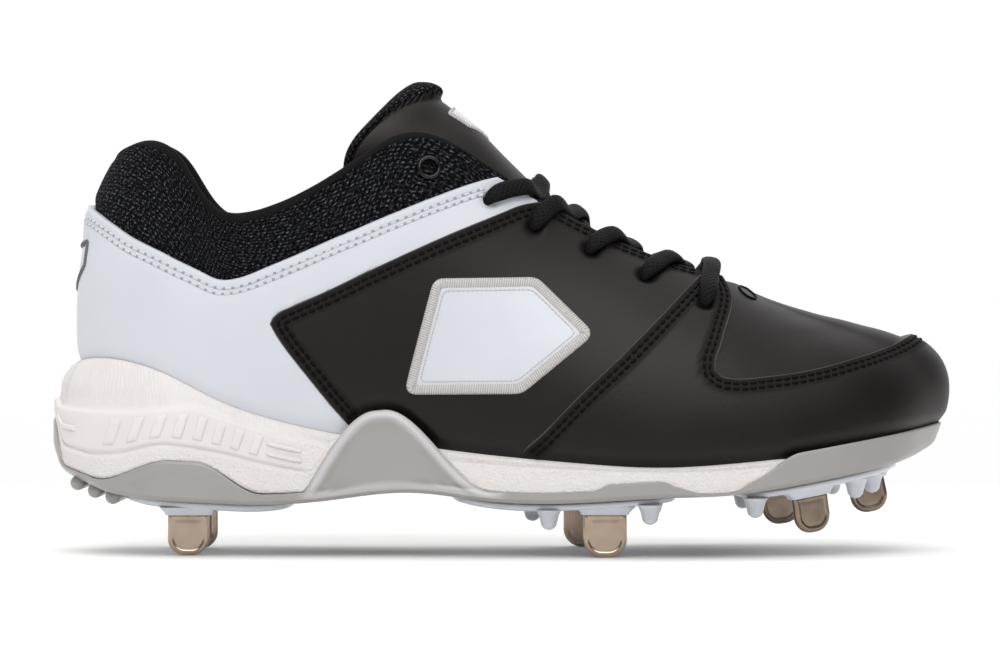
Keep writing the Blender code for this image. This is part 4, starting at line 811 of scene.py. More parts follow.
def rows_across(width, count):
    """Shares across a panel of each width, crowded by fixed millimetres towards both edges."""
    width = np.maximum(width, 1e-3)[:, None]
    marks = EDGE_MARKS * np.minimum(1.0, width / 6.0) / width
    inner = marks[:, -1:] + (1 - 2 * marks[:, -1:]) * np.linspace(0, 1, count)[None, 1:-1]
    return np.concatenate([marks, inner, 1 - marks[:, ::-1]], axis=1)


def between(lower, upper, count):
    """Grid of stations and shares ruled between two lines of the last."""
    width = np.linalg.norm(last_point(*lower.T) - last_point(*upper.T), axis=-1)
    t = rows_across(width, count)[..., None]
    grid = lower[:, None] * (1 - t) + upper[:, None] * t
    return grid[..., 0], grid[..., 1]


def mirrored(line):
    """The same line on the other side of the foot."""
    return np.stack([STATIONS - line[:, 0], line[:, 1]], -1)


def both_sides(lines):
    """Lines, or rows of places, followed by their mirror images."""
    return [*lines, *(mirrored(line) for line in lines)]


def leather_panel(name, grid, lift, seams, holes, finish, replaced, slot, covered=None, proud=0.0):
    """Closed sheet on a grid of the last. Its face lifts by a quarter circle of the distance to the
    border, less a soft trough along each stitch row and a dent at each laced hole. Where another panel
    covers it, it is skived thin; proud is extra padding behind it."""
    station, share = grid
    middle = wall_point(station, share, np.full(station.shape, MID_SHEET * lift))
    border = np.concatenate([middle[0], middle[:, -1], middle[-1, ::-1], middle[::-1, 0]])
    inset = distance_to(middle, resample(border, 0.15))
    rounding = quarter_circle(1 - inset / EDGE_ROUND)
    tuck = smooth_step(middle[..., 2] - sole_rim(station), -1.0, 4.5)
    height = PANEL_LOW + (lift + proud - PANEL_LOW) * (0.3 + 0.7 * tuck) * rounding
    nearest = np.full(station.shape, 99.0)
    for seam in seams:
        far = distance_to(middle, resample(wall_point(*seam.T, MID_SHEET * lift), 0.4))
        height -= SEAM_DEPTH * bell(far, 0.0, SEAM_WIDTH)
        nearest = np.minimum(nearest, far)
    for hole in holes:
        far = np.linalg.norm(middle - wall_point(*hole, MID_SHEET * lift), axis=-1)
        height -= HOLE_DEPTH * bell(far, 0.0, HOLE_WIDTH, 4)
    if covered is not None:
        height = np.where(covered, np.minimum(height, SKIVED), height)
    height = np.maximum(height, PANEL_LOW)
    face = wall_point(station, share, height)
    back = wall_point(station, share, np.full(station.shape, PANEL_LOW))
    # edge colour along the panel's border above the sole: raw edge tone, on the black leather partly a
    # painted highlight
    cut_edge_and_highlight = both_faces(np.clip(1.3 - inset / 0.55, 0, 1) * (tuck > 0.5), 0.0)
    uv = both_faces(np.stack([station * LAST_METRIC[0], share * LAST_METRIC[1]], -1))
    hem = both_faces(1 - smooth_step(nearest, 1.2, 2.4), 0.0)
    sheet = shell(*closed_sheet(face, back), uv, edge=cut_edge_and_highlight, hem=hem)
    make_piece(name, [sheet], [finish], replaced, slot)


def beside(line, distance, toward):
    """Line on the last that runs a distance beside another, on the side of the given place: it moves in
    small steps at right angles to itself, and points that come too near the first line are dropped."""
    line = resample(line * LAST_METRIC, 0.5) / LAST_METRIC
    start = last_point(*line.T)
    moved, steps = line.copy(), 8
    goal = last_point(*np.asarray(toward, float))
    sign = 0.0
    for _ in range(steps):
        place = last_point(*moved.T)
        along, normal = np.gradient(place, axis=0), last_normal(*moved.T)
        side = unit(np.cross(normal, along))
        middle = len(moved) // 2
        sign = sign or np.sign(side[middle] @ (goal - place[middle]))
        by_station, by_share = last_slopes(*moved.T)
        step = sign * side * distance / steps
        a, b, c, u, v = ((p * q).sum(1) for p, q in (
            (by_station, by_station), (by_station, by_share), (by_share, by_share), (step, by_station),
            (step, by_share)))
        moved = moved + np.stack([c * u - b * v, a * v - b * u], -1) / (a * c - b * b)[:, None]
    clear = distance_to(last_point(*moved.T), resample(start, 0.2)) > 0.96 * distance
    kept = moved[clear]
    return edge_curve(kept[::4], len(kept))


def above_sole(line):
    """The part of a line that shows above the sole."""
    return line[line[:, 1] > share_at_height(line[:, 0], sole_rim(line[:, 0]) + 0.8)]


collar_rows = [beside(collar_seam[:-12], inset, (3.0, 0.4)) for inset in COLLAR_INSETS]
collar_rows = [row[row[:, 0] > 0.03] for row in collar_rows]
quarter_outline = np.concatenate([quarter_rear[::-1], quarter_upper[1:]])
quarter_rows = [above_sole(beside(quarter_outline, inset, (7.5, 0.3))) for inset in STITCH_INSETS]
guard_rows = [above_sole(beside(guard_rear, inset, (12.0, 0.15))) for inset in STITCH_INSETS]
vamp_line = np.concatenate([guard_vamp, mirrored(guard_vamp)[::-1][1:]])
vamp_rows = [beside(vamp_line, inset, (TOE_STATION, 0.1)) for inset in VAMP_INSETS]
throat_line = np.stack([np.linspace(8.62, 10.85, 80), np.full(80, 0.985)], -1)
throat_rows = [beside(throat_line, inset, (9.5, 0.5)) for inset in THROAT_INSETS]
print("stitch rows planned")

# %% [markdown]
# **Heel counter.** The white panel wraps the heel, and its two arms run forward along the collar to the
# top laced holes. Under the black quarter its lower edge is out of sight, so it simply rises there.

# %% Heel counter
near = np.linspace(-8.45, 8.45, 361)
far = np.abs(near)
sole_line = sole_share(near)
under_quarter = np.interp(far, quarter_upper[:, 0], quarter_upper[:, 1]) - 0.05
lower_share = sole_line + (under_quarter - sole_line) * smooth_step(far, 5.75, 6.3)
counter_grid = between(
    np.stack([near, lower_share], -1), np.stack([near, np.minimum(collar_line(near), THROAT_SHARE)], -1), 34)
COUNTER_LIFT, QUARTER_LIFT, GUARD_LIFT = 1.45, 1.9, 2.25


def heel_pad(station, share):
    """Padding behind the top of the counter, in mm, which makes it stand proud at the back of the heel."""
    return 1.5 * bell(folded(station), 0.0, 0.9) * smooth_step(share, 0.6, 0.75)


top_holes = np.concatenate(both_sides([LACE_HOLES[-1:]]))
far, share = np.abs(counter_grid[0]), counter_grid[1]
past_rear = far > np.interp(-share, -quarter_rear[:, 1], quarter_rear[:, 0]) + 0.06
below_top = share < np.interp(far, quarter_upper[:, 0], quarter_upper[:, 1], left=0.0) - 0.012
leather_panel(
    "heel_counter_panel", counter_grid, COUNTER_LIFT, both_sides(collar_rows), top_holes, white_leather,
    ["heel_counter"], "white_leather", past_rear & below_top, heel_pad(*counter_grid))

# %% [markdown]
# **Quarters and toe guard.** The black quarter points to the heel and reaches the throat, where it is the
# eyestay. The toe guard laps over it and over the vamp, and carries the lowest laced holes.

# %% Quarters
QUARTER_POINT, QUARTER_END, EYESTAY_FROM, EYESTAY_SHARE = 4.37, 11.05, 8.5, 0.985
far = QUARTER_POINT + (QUARTER_END - QUARTER_POINT) * np.linspace(0.0, 1.0, 260) ** 1.6
rear_share = np.interp(far, quarter_rear[:, 0], quarter_rear[:, 1], right=0.0)
under_guard = np.interp(far, guard_rear[::-1, 0], guard_rear[::-1, 1], left=0.0) - 0.08
behind = far < QUARTER_REAR_EDGE[-1][0]
lower_share = np.maximum.reduce(
    [sole_share(far), np.where(behind, rear_share, 0.0), np.minimum(under_guard, 0.92)])
upper_share = np.interp(far, quarter_upper[:, 0], quarter_upper[:, 1], right=EYESTAY_SHARE)
upper_share = np.where(far > EYESTAY_FROM, EYESTAY_SHARE, upper_share)
lower_share = np.minimum(lower_share, upper_share)
station_grid, share_grid = between(
    np.stack([far, lower_share], -1), np.stack([far, upper_share], -1), 50)
leather_panel(
    "quarter_lateral_panel", (station_grid, share_grid), QUARTER_LIFT, quarter_rows + throat_rows,
    LACE_HOLES[1:4], black_leather, ["quarter_lateral"], "black_leather")
leather_panel(
    "quarter_medial_panel", (STATIONS - station_grid, share_grid), QUARTER_LIFT,
    [mirrored(row) for row in quarter_rows + throat_rows], mirrored(LACE_HOLES[1:4]), black_leather,
    ["quarter_medial"], "black_leather")

# %% Toe guard
REAR_LINES, SOLE_LINES = 90, 140
bend = int(np.argmin(np.linalg.norm((guard_vamp - TOE_GUARD_BEND) * LAST_METRIC, axis=1)))
upper_line = np.concatenate([
    edge_curve(guard_vamp[: bend + 1 : 6], REAR_LINES), edge_curve(guard_vamp[bend::6], SOLE_LINES)[1:]])
upper_line[-1] = guard_vamp[-1]
rear_shown = guard_rear[guard_rear[:, 1] > sole_share(guard_rear[:, 0])]
along = np.linspace(rear_shown[-1, 0], TOE_STATION, SOLE_LINES)
lower_line = np.concatenate([
    edge_curve(rear_shown[::6], REAR_LINES), np.stack([along, sole_share(along)], -1)[1:]])
lower_line = np.concatenate([lower_line, mirrored(lower_line)[::-1][1:]])
upper_line = np.concatenate([upper_line, mirrored(upper_line)[::-1][1:]])
leather_panel(
    "toe_guard_panel", between(lower_line, upper_line, 32), GUARD_LIFT, both_sides(guard_rows) + vamp_rows,
    np.concatenate(both_sides([LACE_HOLES[:1]])), black_leather, ["toe_guard"], "black_leather")

# %% [markdown]
# ## Stitching
# A lock stitch shows as a short arch of thread between two needle holes. Each one here is a small tube that
# rises out of the leather and goes back in; a row of them follows its line on the last. On the white
# leather the shade in each needle hole is painted: each gets a tiny flattened grey bead.

# %% Stitches
STITCH_PITCH, STITCH_LENGTH, STITCH_RADIUS = 2.7, 2.4, 0.45
STITCH_RINGS, STITCH_SIDES, STITCH_ARCH, STITCH_SUNK = 6, 6, 0.28, 0.30
BEAD_RINGS, BEAD_SIDES, BEAD_LENGTH, BEAD_HEIGHT = 5, 8, 1.5, 0.3


def circle(count):
    """Angles evenly spaced once round."""
    return np.arange(count) * 2 * np.pi / count


def stitch_places(lines, lift, padded):
    """Path of every line over the leather: points, normals, distance along it, and the stitches' middles."""
    for line in lines:
        fine = resample(line * LAST_METRIC, 0.3) / LAST_METRIC
        points = wall_point(*fine.T, lift + padded * heel_pad(*fine.T))
        run = run_along(points)
        yield points, last_normal(*fine.T), run, np.arange(
            0.6 * STITCH_PITCH, run[-1] - 0.5 * STITCH_PITCH, STITCH_PITCH)


def stitches(lines, lift, padded=False):
    """Tubes: the axis follows the path over one stitch and arches by 1 - t^2, the section is a circle
    whose radius falls to nothing at both ends."""
    t = np.linspace(-1.0, 1.0, STITCH_RINGS)[None, :]
    a = circle(STITCH_SIDES)
    tubes = []
    for points, normals, run, centres in stitch_places(lines, lift, padded):
        axis = read_at(centres[:, None] + 0.5 * STITCH_LENGTH * t, run, points)
        normal = read_at(centres, run, normals)[:, None]
        side = unit(np.cross(normal, axis[:, -1:] - axis[:, :1]))
        axis = axis + normal * (STITCH_ARCH * (1 - t**2) - STITCH_SUNK)[..., None]
        radius = (STITCH_RADIUS * np.sqrt(np.maximum(1 - t**4, 0.0)))[..., None, None]
        ring = side[:, :, None] * np.sin(a)[:, None] + normal[:, :, None] * (0.85 * np.cos(a))[:, None]
        tubes.append((axis[:, :, None] + radius * ring).reshape(len(centres), -1, 3))
    moved = np.concatenate(tubes)
    made = copies(grid_quads(STITCH_RINGS, STITCH_SIDES, wrap_columns=True), moved)
    length = np.repeat(0.5 * STITCH_LENGTH * t[0], STITCH_SIDES)
    made["uv"] = np.tile(np.stack([length, np.tile(a, STITCH_RINGS)], -1), (len(moved), 1))
    return made


def needle_holes(lines, lift, radius):
    """Flattened grey beads between the stitches, painted shade in the needle holes: a sphere drawn out along
    the row and squashed on to it.
    """
    polar, turn = np.linspace(0, np.pi, BEAD_RINGS)[:, None], circle(BEAD_SIDES)[None, :]
    ball = together(BEAD_LENGTH * np.sin(polar) * np.cos(turn), np.sin(polar) * np.sin(turn),
                    BEAD_HEIGHT * np.cos(polar)).reshape(-1, 3)
    beads = []
    for points, normals, run, centres in stitch_places(lines, lift, True):
        holes = centres - 0.5 * STITCH_PITCH
        place, normal = read_at(holes, run, points), read_at(holes, run, normals)
        along = unit(read_at(holes + 0.3, run, points) - read_at(holes - 0.3, run, points))
        basis = np.stack([along, np.cross(normal, along), normal], 1)
        beads.append(place[:, None] + radius * np.einsum("pk,nkc->npc", ball, basis))
    return copies(grid_quads(BEAD_RINGS, BEAD_SIDES, wrap_columns=True), np.concatenate(beads))


for name, sewn, finish, slot in (
    ("stitching_quarters", stitches(both_sides(quarter_rows + throat_rows), QUARTER_LIFT), black_thread,
     "black_leather"),
    ("stitching_toe_guard", stitches(both_sides(guard_rows) + vamp_rows, GUARD_LIFT), black_thread,
     "black_leather"),
    ("stitching_counter", stitches(both_sides(collar_rows), COUNTER_LIFT - 0.1, True), white_thread,
     "white_leather"),
    ("needle_holes_counter", needle_holes(both_sides(collar_rows), COUNTER_LIFT - 0.16, 0.5), needle_shade,
     "white_leather"),
):
    make_piece(name, [sewn], [finish], slot=slot)

# %% [markdown]
# ## Sole pieces
# The sole is a stack of rings round the foot. Each ring has an offset out of the feather line and a height.
# A limited cubic carries the surface smoothly from ring to ring without overshooting, and the first and
# last rings are filled towards the middle of the foot.

# %% Sole helpers
OUTSOLE_FLOOR, OUTSOLE_WALL, THIN_WALL, SOLE_CLEARANCE, SEAT_GAP = 1.6, 2.2, 1.6, 0.45, 0.35
FLOOR_INSET, FOAM_INSET, LOWEST_EDGE, SHOULDER = 1.6, 1.9, 2.3, 1.4
HEEL_UNDER_SLOPE, TOE_UNDER_SLOPE = -0.35, 0.5
SOLE_COLUMNS = 500
sole_station = np.linspace(0.0, STATIONS, SOLE_COLUMNS + 1)
sole_x, feather = column("x", sole_station), column("feather_z", sole_station)
side_stations = np.linspace(0.0, TOE_STATION, 400)
side_x = column("x", side_stations)


def underside(x):
    """Height of the outsole's underside along the foot, straight beyond the feather line."""
    past_heel, past_toe = np.minimum(x - side_x[0], 0.0), np.maximum(x - side_x[-1], 0.0)
    on_foot = np.interp(x, side_x, column("under", side_stations))
    return on_foot + HEEL_UNDER_SLOPE * past_heel + TOE_UNDER_SLOPE * past_toe


def sole_ring(offset, height):
    """Ring at an offset out of the feather line, at a height or at a height worked out from x."""
    ring = np.stack([sole_x, column("y", sole_station), np.zeros_like(sole_station)], -1)
    ring = ring + outward(sole_station) * np.broadcast_to(offset, sole_station.shape)[:, None]
    ring[:, 2] = height(ring[:, 0]) if callable(height) else height
    return ring


def bulge_at_height(height):
    """How far the upper stands out of the feather line at a height."""
    share = share_at_height(sole_station, height)
    across = last_point(sole_station, share) - last_point(sole_station, 0.0)
    return np.maximum(np.sum(across * outward(sole_station), -1), 0.0)


def loft(rings, steps):
    """Rows between rings on cubics whose slopes are harmonic means, so no row passes beyond its rings."""
    rings = np.asarray(rings)
    gaps = np.diff(rings, axis=0)
    product = gaps[1:] * gaps[:-1]
    total = np.where(np.abs(gaps[1:] + gaps[:-1]) < 1e-9, 1.0, gaps[1:] + gaps[:-1])
    slopes = np.concatenate([gaps[:1], np.where(product > 0, 2 * product / total, 0.0), gaps[-1:]])
    s = np.linspace(0.0, 1.0, steps + 1)[:-1][None, :, None, None]
    rows = hermite(rings[:-1, None], rings[1:, None], slopes[:-1, None], slopes[1:, None], s)
    return np.concatenate([rows.reshape(-1, *rings.shape[1:]), rings[-1:]])


def filled(ring, count):
    """Rows from the middle line of the foot out to a ring, without the ring itself."""
    t = np.linspace(0.5, 0.0, count + 1)[:-1][:, None, None]
    return ring[None] * (1 - t) + ring[::-1][None] * t


def ring_shell(stack, measured, **traits):
    """Shell of a stack of rings; its UV map is the distance round the measured ring, and the height."""
    uv = together(run_along(measured), stack[..., 2])
    return shell(stack, grid_quads(*stack.shape[:2]), uv, **traits)


flange = column("flange", sole_station)
notch = smooth_step(sole_x, 52, 60) * (1 - smooth_step(sole_x, 67, 74))
lowest_edge = sole_ring(flange, underside)[:, 2] + LOWEST_EDGE - 1.9 * notch
above_lowest = outsole_edge(sole_station) - lowest_edge
edge_height = lowest_edge + 0.5 * (above_lowest + np.hypot(above_lowest, 1.5))
seat = flange - OUTSOLE_WALL - SOLE_CLEARANCE
print("sole columns:", SOLE_COLUMNS)

# %% [markdown]
# **Outsole.** One grey TPU moulding: a floor, a low wall that climbs into a flank at the heel, a wing at
# the arch and a wrap at the toe, and three rolled bars at the back of the heel. The wing has a raised
# border, and a fine line runs along its foot. Shallow chevron grooves cross the underside.

# %% Outsole
shoulder = sole_ring(flange, underside)[:, 2] + SHOULDER - 1.2 * notch
floor_level = sole_ring(seat - FLOOR_INSET, lambda x: underside(x) + OUTSOLE_FLOOR)[:, 2]


def wall_inside(height):
    """Offset of the outsole's inner wall, clear of the upper."""
    clear = bulge_at_height(height) + SOLE_CLEARANCE
    return np.maximum(flange - OUTSOLE_WALL, np.where(height > feather, clear, 0.0))


middle, half_up = 0.5 * (floor_level + edge_height), 0.5 * (shoulder + edge_height)
top_in, middle_in = wall_inside(edge_height), wall_inside(middle)
top_out, middle_out = (np.maximum(flange, inside + THIN_WALL) for inside in (top_in, middle_in))
heel_tuck, toe_tuck = 2.2 * (1 - smooth_step(sole_x, -127, -112)), smooth_step(sole_x, 112, 131)
top_out, middle_out = top_out - 0.7 * toe_tuck, middle_out - 1.2 * toe_tuck
foot = sole_ring(flange - 6.0 - heel_tuck - 1.0 * toe_tuck, underside)
wall_foot = sole_ring(flange - 0.8 * heel_tuck - 1.9 * toe_tuck, shoulder)
wall_top = sole_ring(top_out - 0.6, edge_height)
lower_rings = loft([
    foot, sole_ring(flange - 1.4 - heel_tuck - 1.6 * toe_tuck, lambda x: underside(x) + 0.3), wall_foot], 5)
upper_rings = loft([
    wall_foot, sole_ring(middle_out, half_up),
    sole_ring(top_out, edge_height - 0.2 * (edge_height - half_up)), wall_top], 8)
inner_rings = loft([
    wall_top, sole_ring(top_in + 0.25, edge_height - 0.04 * (edge_height - floor_level)),
    sole_ring(top_in, edge_height - 0.15 * (edge_height - floor_level)), sole_ring(middle_in, middle),
    sole_ring(np.minimum(middle_in, seat + SOLE_CLEARANCE), floor_level + 0.25 * (middle - floor_level)),
    sole_ring(seat - FLOOR_INSET, floor_level),
], 3)
rim_line = sole_ring(top_out, edge_height)
x = upper_rings[..., 0]
inset = distance_to(upper_rings, resample(rim_line, 0.3))
on_wing = smooth_step(x, -63, -57) * (1 - smooth_step(x, -6, 2))
on_flank = smooth_step(x, -116, -110) * (1 - smooth_step(x, -80, -74))
border = 0.75 * on_wing + 0.22 * on_flank
clear_of_rim = smooth_step(inset, 0.0, 0.6)
ridge = border * (bell(inset, 1.5, 1.1) - 0.55 * bell(inset, 3.4, 0.8))
above_foot = upper_rings[..., 2] - underside(x)
foot_line = 0.7 * on_wing * bell(above_foot, 3.6, 0.5)
upper_rings = upper_rings + outward(sole_station)[None] * (ridge * clear_of_rim - foot_line)[..., None]
# painted highlight: the wing's raised border and the band below its foot line are painted paler
polish_and_painted_highlight = on_wing * np.maximum(bell(inset, 1.6, 1.3, 4), 0.6 * (1 - smooth_step(above_foot, 2.9, 3.5)))
GROOVE_PITCH, GROOVE_DEPTH, GROOVE_SWEEP = 8.0, 0.55, 0.45
sole_floor = filled(foot, 26)
swept = sole_floor[..., 0] + GROOVE_SWEEP * np.abs(sole_floor[..., 1])
groove = 1 - smooth_step(np.abs((swept / GROOVE_PITCH) % 1.0 - 0.5), 0.06, 0.16)
clear_of_wall = smooth_step(np.linalg.norm(sole_floor - foot[None], axis=-1), 1.0, 4.0)
sole_floor[..., 2] = underside(sole_floor[..., 0]) + GROOVE_DEPTH * groove * clear_of_wall
stack = np.concatenate(
    [sole_floor, lower_rings[:-1], upper_rings[:-1], inner_rings, filled(inner_rings[-1], 5)[::-1]])
# the outsole's `edge` attribute carries the painted border highlight
edge = np.zeros(stack.shape[:2])
first = len(sole_floor) + len(lower_rings) - 1
edge[first : first + len(upper_rings) - 1] = polish_and_painted_highlight[:-1]
outsole_shell = ring_shell(stack, rim_line, edge=edge)

HEEL_BARS_X, HEEL_BAR_DEPTH, HEEL_BAR_RADIUS, HEEL_BAR_END = (-130.5, -124.8, -119.2), 1.2, 2.3, 2.0


def heel_bar(x):
    """Rolled bar across the heel: a circle carried across the foot, its radius falling on a quarter circle
    at both ends."""
    heel = sole_ring(flange, 0.0)[sole_station < 3.0]
    reach = 0.8 * float(np.interp(x, heel[:, 0], -heel[:, 1]))
    t, a = np.linspace(-1, 1, 41)[:, None], circle(24)[None, :]
    radius = HEEL_BAR_RADIUS * quarter_circle(1 - (1 - np.abs(t)) * reach / HEEL_BAR_END)
    z = float(underside(x)) - HEEL_BAR_DEPTH
    return tube_shell(together(x + radius * np.cos(a), reach * t, z + radius * np.sin(a)))


make_piece("outsole_moulding", [outsole_shell, *(heel_bar(x) for x in HEEL_BARS_X)], [grey_tpu], ["outsole"],
           "grey_rubber")

# %% [markdown]
# **Midsole.** The white foam sits in the outsole and cups the heel. Two moulded grooves part its side into
# three bands: ribbed above, smooth in the middle and stippled below. A row of plain slanting bars is
# raised on the middle band.

# %% Midsole
FOAM_BAND, FOAM_SEAM_DEPTH, FOAM_SEAM_ENDS = 3.0, 0.9, (-66, -50)
bottom = sole_ring(seat - FOAM_INSET, lambda x: underside(x) + OUTSOLE_FLOOR)[:, 2] + SEAT_GAP
cup = smooth_step(seat - SOLE_CLEARANCE, 0.8, 1.8)
rim_height = (feather - SEAT_GAP) * (1 - cup) + column("rim", sole_station) * cup
step_height = edge_height - 0.35
highest = rim_height - FOAM_BAND
covered = smooth_step(step_height, rim_height - 0.9, rim_height + 0.3)
behind = smooth_step(step_height, highest - 1.0, highest)
ledge = np.maximum(np.minimum(step_height, highest), bottom + 0.3 - 2.0 * notch)
out = seat + (flange - 0.2 - 0.6 * behind - seat) * (1 - covered)
side_height = rim_height - ledge
low = np.clip(column("seam_low", sole_station), ledge + 0.2 * side_height, ledge + 0.5 * side_height)
above_low = rim_height - low
high = np.clip(column("seam_high", sole_station), low + 0.2 * above_low, low + 0.75 * above_low)
seam = FOAM_SEAM_DEPTH * (1 - smooth_step(sole_x, *FOAM_SEAM_ENDS)) * (1 - covered)
lip = np.minimum(out, np.maximum(bulge_at_height(rim_height) + SOLE_CLEARANCE + 1.9, seat))
hold = np.minimum(bulge_at_height(rim_height) + SOLE_CLEARANCE, lip - 0.7)
half_hold = np.minimum(bulge_at_height(0.5 * (rim_height + feather)) + SOLE_CLEARANCE, hold)
bed = feather - SEAT_GAP
foam_foot = sole_ring(seat - FOAM_INSET, bottom)
side_rings = loft([
    sole_ring(out - 0.3 * (1 - covered), ledge + 0.08 * (low - ledge)),
    sole_ring(out, low - 0.15 * (low - ledge)),
    sole_ring(out - seam, low), sole_ring(out, low + 0.12 * (high - low)),
    sole_ring(out - 0.3 * seam, high - 0.12 * (high - low)), sole_ring(out - 1.8 * seam, high),
    sole_ring(np.minimum(lip + 0.4 * seam, out - 0.9 * seam), high + 0.16 * (rim_height - high)),
    sole_ring(lip, rim_height - 0.55 * (rim_height - high)),
    sole_ring(0.6 * lip + 0.4 * hold, rim_height - 0.18 * (rim_height - high)),
    sole_ring(0.2 * lip + 0.8 * hold, rim_height),
], 6)
base_rings = loft([
    foam_foot, sole_ring(seat, bottom + 0.5 * (ledge - bottom)), sole_ring(seat, ledge), side_rings[0]], 3)
bed_rings = loft([
    side_rings[-1], sole_ring(hold, rim_height - 0.12 * (rim_height - bed) - 0.01),
    sole_ring(half_hold - 0.05, bed + 0.45 * (rim_height - bed) - 0.02),
    sole_ring(np.minimum(half_hold - 0.1, SOLE_CLEARANCE), bed - 0.03),
], 4)
band_share = (side_rings[..., 2] - low) / np.maximum(high - low, 0.1)
stack = np.concatenate(
    [filled(foam_foot, 5), base_rings[:-1], side_rings, bed_rings[1:], filled(bed_rings[-1], 5)[::-1]])
first = 5 + len(base_rings) - 1
ribbed, stippled = np.zeros(stack.shape[:2]), np.zeros(stack.shape[:2])
at_heel = 1 - smooth_step(side_rings[..., 0], -74, -58)
ribbed[first : first + len(side_rings)] = smooth_step(band_share, 1.04, 1.12) * at_heel
below_groove = 1 - smooth_step(band_share, -0.15, 0.0)
stippled[first : first + len(side_rings)] = np.maximum(below_groove, 1 - at_heel)
foam_shell = ring_shell(stack, rim_line, ribbed=ribbed, stippled=stippled)
BAR_HEIGHT, BAR_SLANT, BAND_HEIGHT = 0.85, 0.28, 12.0


def crowded(count):
    """Numbers from -1 to 1 that lie closer together towards both ends: a sine of even steps."""
    return np.sin(np.linspace(-0.5, 0.5, count) * np.pi)


def raised_bar(x_middle, x_half, band_from, band_to, slant, medial):
    """Bar raised on the foam's middle band: a leaning rectangle whose height falls off at its borders as
    a superellipse. The band is 0 at the lower groove and 1 at the upper one."""
    u, v = crowded(11)[:, None], crowded(13)[None, :]
    band = 0.5 * (band_from + band_to) + 0.5 * (band_to - band_from) * v
    station = np.interp(x_middle + x_half * u + slant * BAND_HEIGHT * (band - 0.5), side_x, side_stations)
    station = STATIONS - station if medial else station
    out_here, seam_here, low_here, high_here = (
        np.interp(station, sole_station, values) for values in (out, seam, low, high))
    offset = out_here - 0.3 * seam_here * np.clip((band - 0.12) / 0.76, 0, 1) ** 2
    rise = BAR_HEIGHT * ((1 - np.abs(u) ** 6) * (1 - np.abs(v) ** 6)) ** 0.35
    z = low_here + band * (high_here - low_here)
    on_feather = np.stack([column("x", station), column("y", station), z], -1)
    out_way = outward(station)
    face, back = (on_feather + out_way * (offset + lift)[..., None] for lift in (rise - 0.12, -0.7))
    return shell(*closed_sheet(face, back))


# each bar: middle x, half width, lower and upper end on the band, slant
bars = [(x, 1.35, 0.2, 0.8, BAR_SLANT) for x in np.arange(-113.5, -74.0, 5.6)]
bars += [(-123.9, 1.9, 0.44, 0.56, 0.0), (-66.0, 5.5, 0.26, 0.38, 0.0), (-66.0, 5.5, 0.56, 0.68, 0.0)]
bar_shells = [raised_bar(*bar, medial) for bar in bars for medial in (False, True)]
make_piece("midsole_foam", [foam_shell, *bar_shells], [foam], ["midsole"], "white_foam")

# %% [markdown]
# **Insole.** A thin sock liner lies on the footbed inside the shoe, dished a little under the heel.

# %% Insole
INSOLE_INSET, INSOLE_THICKNESS = 3.0, 4.0
top_ring = sole_ring(-INSOLE_INSET - 1.4, feather + INSOLE_THICKNESS)
insole_rings = loft([
    sole_ring(-INSOLE_INSET, feather), sole_ring(-INSOLE_INSET, feather + INSOLE_THICKNESS - 0.9),
    top_ring], 4)
dished = filled(top_ring, 10)[::-1]
deep = smooth_step(np.linalg.norm(dished - top_ring[None], axis=-1), 0.0, 14.0)
dished[..., 2] -= 1.2 * deep
stack = np.concatenate([filled(insole_rings[0], 4), insole_rings, dished])
make_piece("insole_liner", [ring_shell(stack, top_ring)], [lining], ["insole"], "black_lining")

# %% [markdown]
# ## Cleat plates and spikes
# Three white plates lie against the outsole. Each carries moulded nubs, which are turned shapes, and a
# rounded boss over each spike. A spike is a stamped blade: a flat outline with a round tip, its rim bevelled
# and a plain field pressed inside the rim.

# %% Cleat plates
# each plate: back and front x, share of the foot's width, and nubs as x and share across
PLATES = {
    "heel_cleat_plate": (-117, -65, 0.95, ()),
    "ball_cleat_plate": (-16, 53, 1.0, ((13.5, -0.93), (44, -0.9), (47.5, 0.78), (9, 0.93))),
    "toe_cleat_plate": (71, 122, 1.0, ((76, -0.86), (107.5, -0.72), (113.5, -0.42), (76, 0.88), (104, 0.82))),
}
# each spike: plate, x, y, width, height of its tip, then its turn and lean in degrees
SPIKES = {
    "spike_heel_lateral": ("heel_cleat_plate", -96.3, -20, 12.6, 0, 0, 0),
    "spike_heel_medial": ("heel_cleat_plate", -96.3, 20, 12.6, 0, 0, 0),
    "spike_ball_lateral": ("ball_cleat_plate", 30.5, -32, 13.2, 0, 0, 0),
    "spike_ball_medial": ("ball_cleat_plate", 25.5, 32, 13.2, 0, 0, 0),
    "spike_fore_lateral": ("toe_cleat_plate", 92.5, -25.5, 12.0, 7.4, 26, 9),
    "spike_fore_medial": ("toe_cleat_plate", 87.0, 31, 12.0, 7.4, -12, 9),
    "spike_toe": ("toe_cleat_plate", 112.5, 9, 11.6, 12.2, 8, 12),
}
PLATE_THICKNESS, PLATE_INSET, PLATE_END_ROUND = 2.6, 5.0, 0.45
NUB_ROOT, NUB_TIP, NUB_LENGTH, SUNK = 3.4, 2.0, 5.2, 1.2
BOSS_MARGIN, BOSS_DEPTH, BOSS_HEIGHT, BOSS_TAPER = 5.0, 7.0, 1.6, 0.82


def rounded(angle, power):
    """Superellipse: cosine and sine raised to a power below one, which squares a circle off."""
    c, s = np.cos(angle), np.sin(angle)
    return np.sign(c) * np.abs(c) ** power, np.sign(s) * np.abs(s) ** power


def plate_edges(x):
    """Lateral and medial edges of a cleat plate along the foot."""
    return (np.interp(x, side_x, column("y", side_stations)) + PLATE_INSET,
            np.interp(x, side_x, column("y", STATIONS - side_stations)) - PLATE_INSET)


def plate_face(x):
    """Height of the lower face of a plate's thick middle."""
    return underside(x) - SEAT_GAP - PLATE_THICKNESS


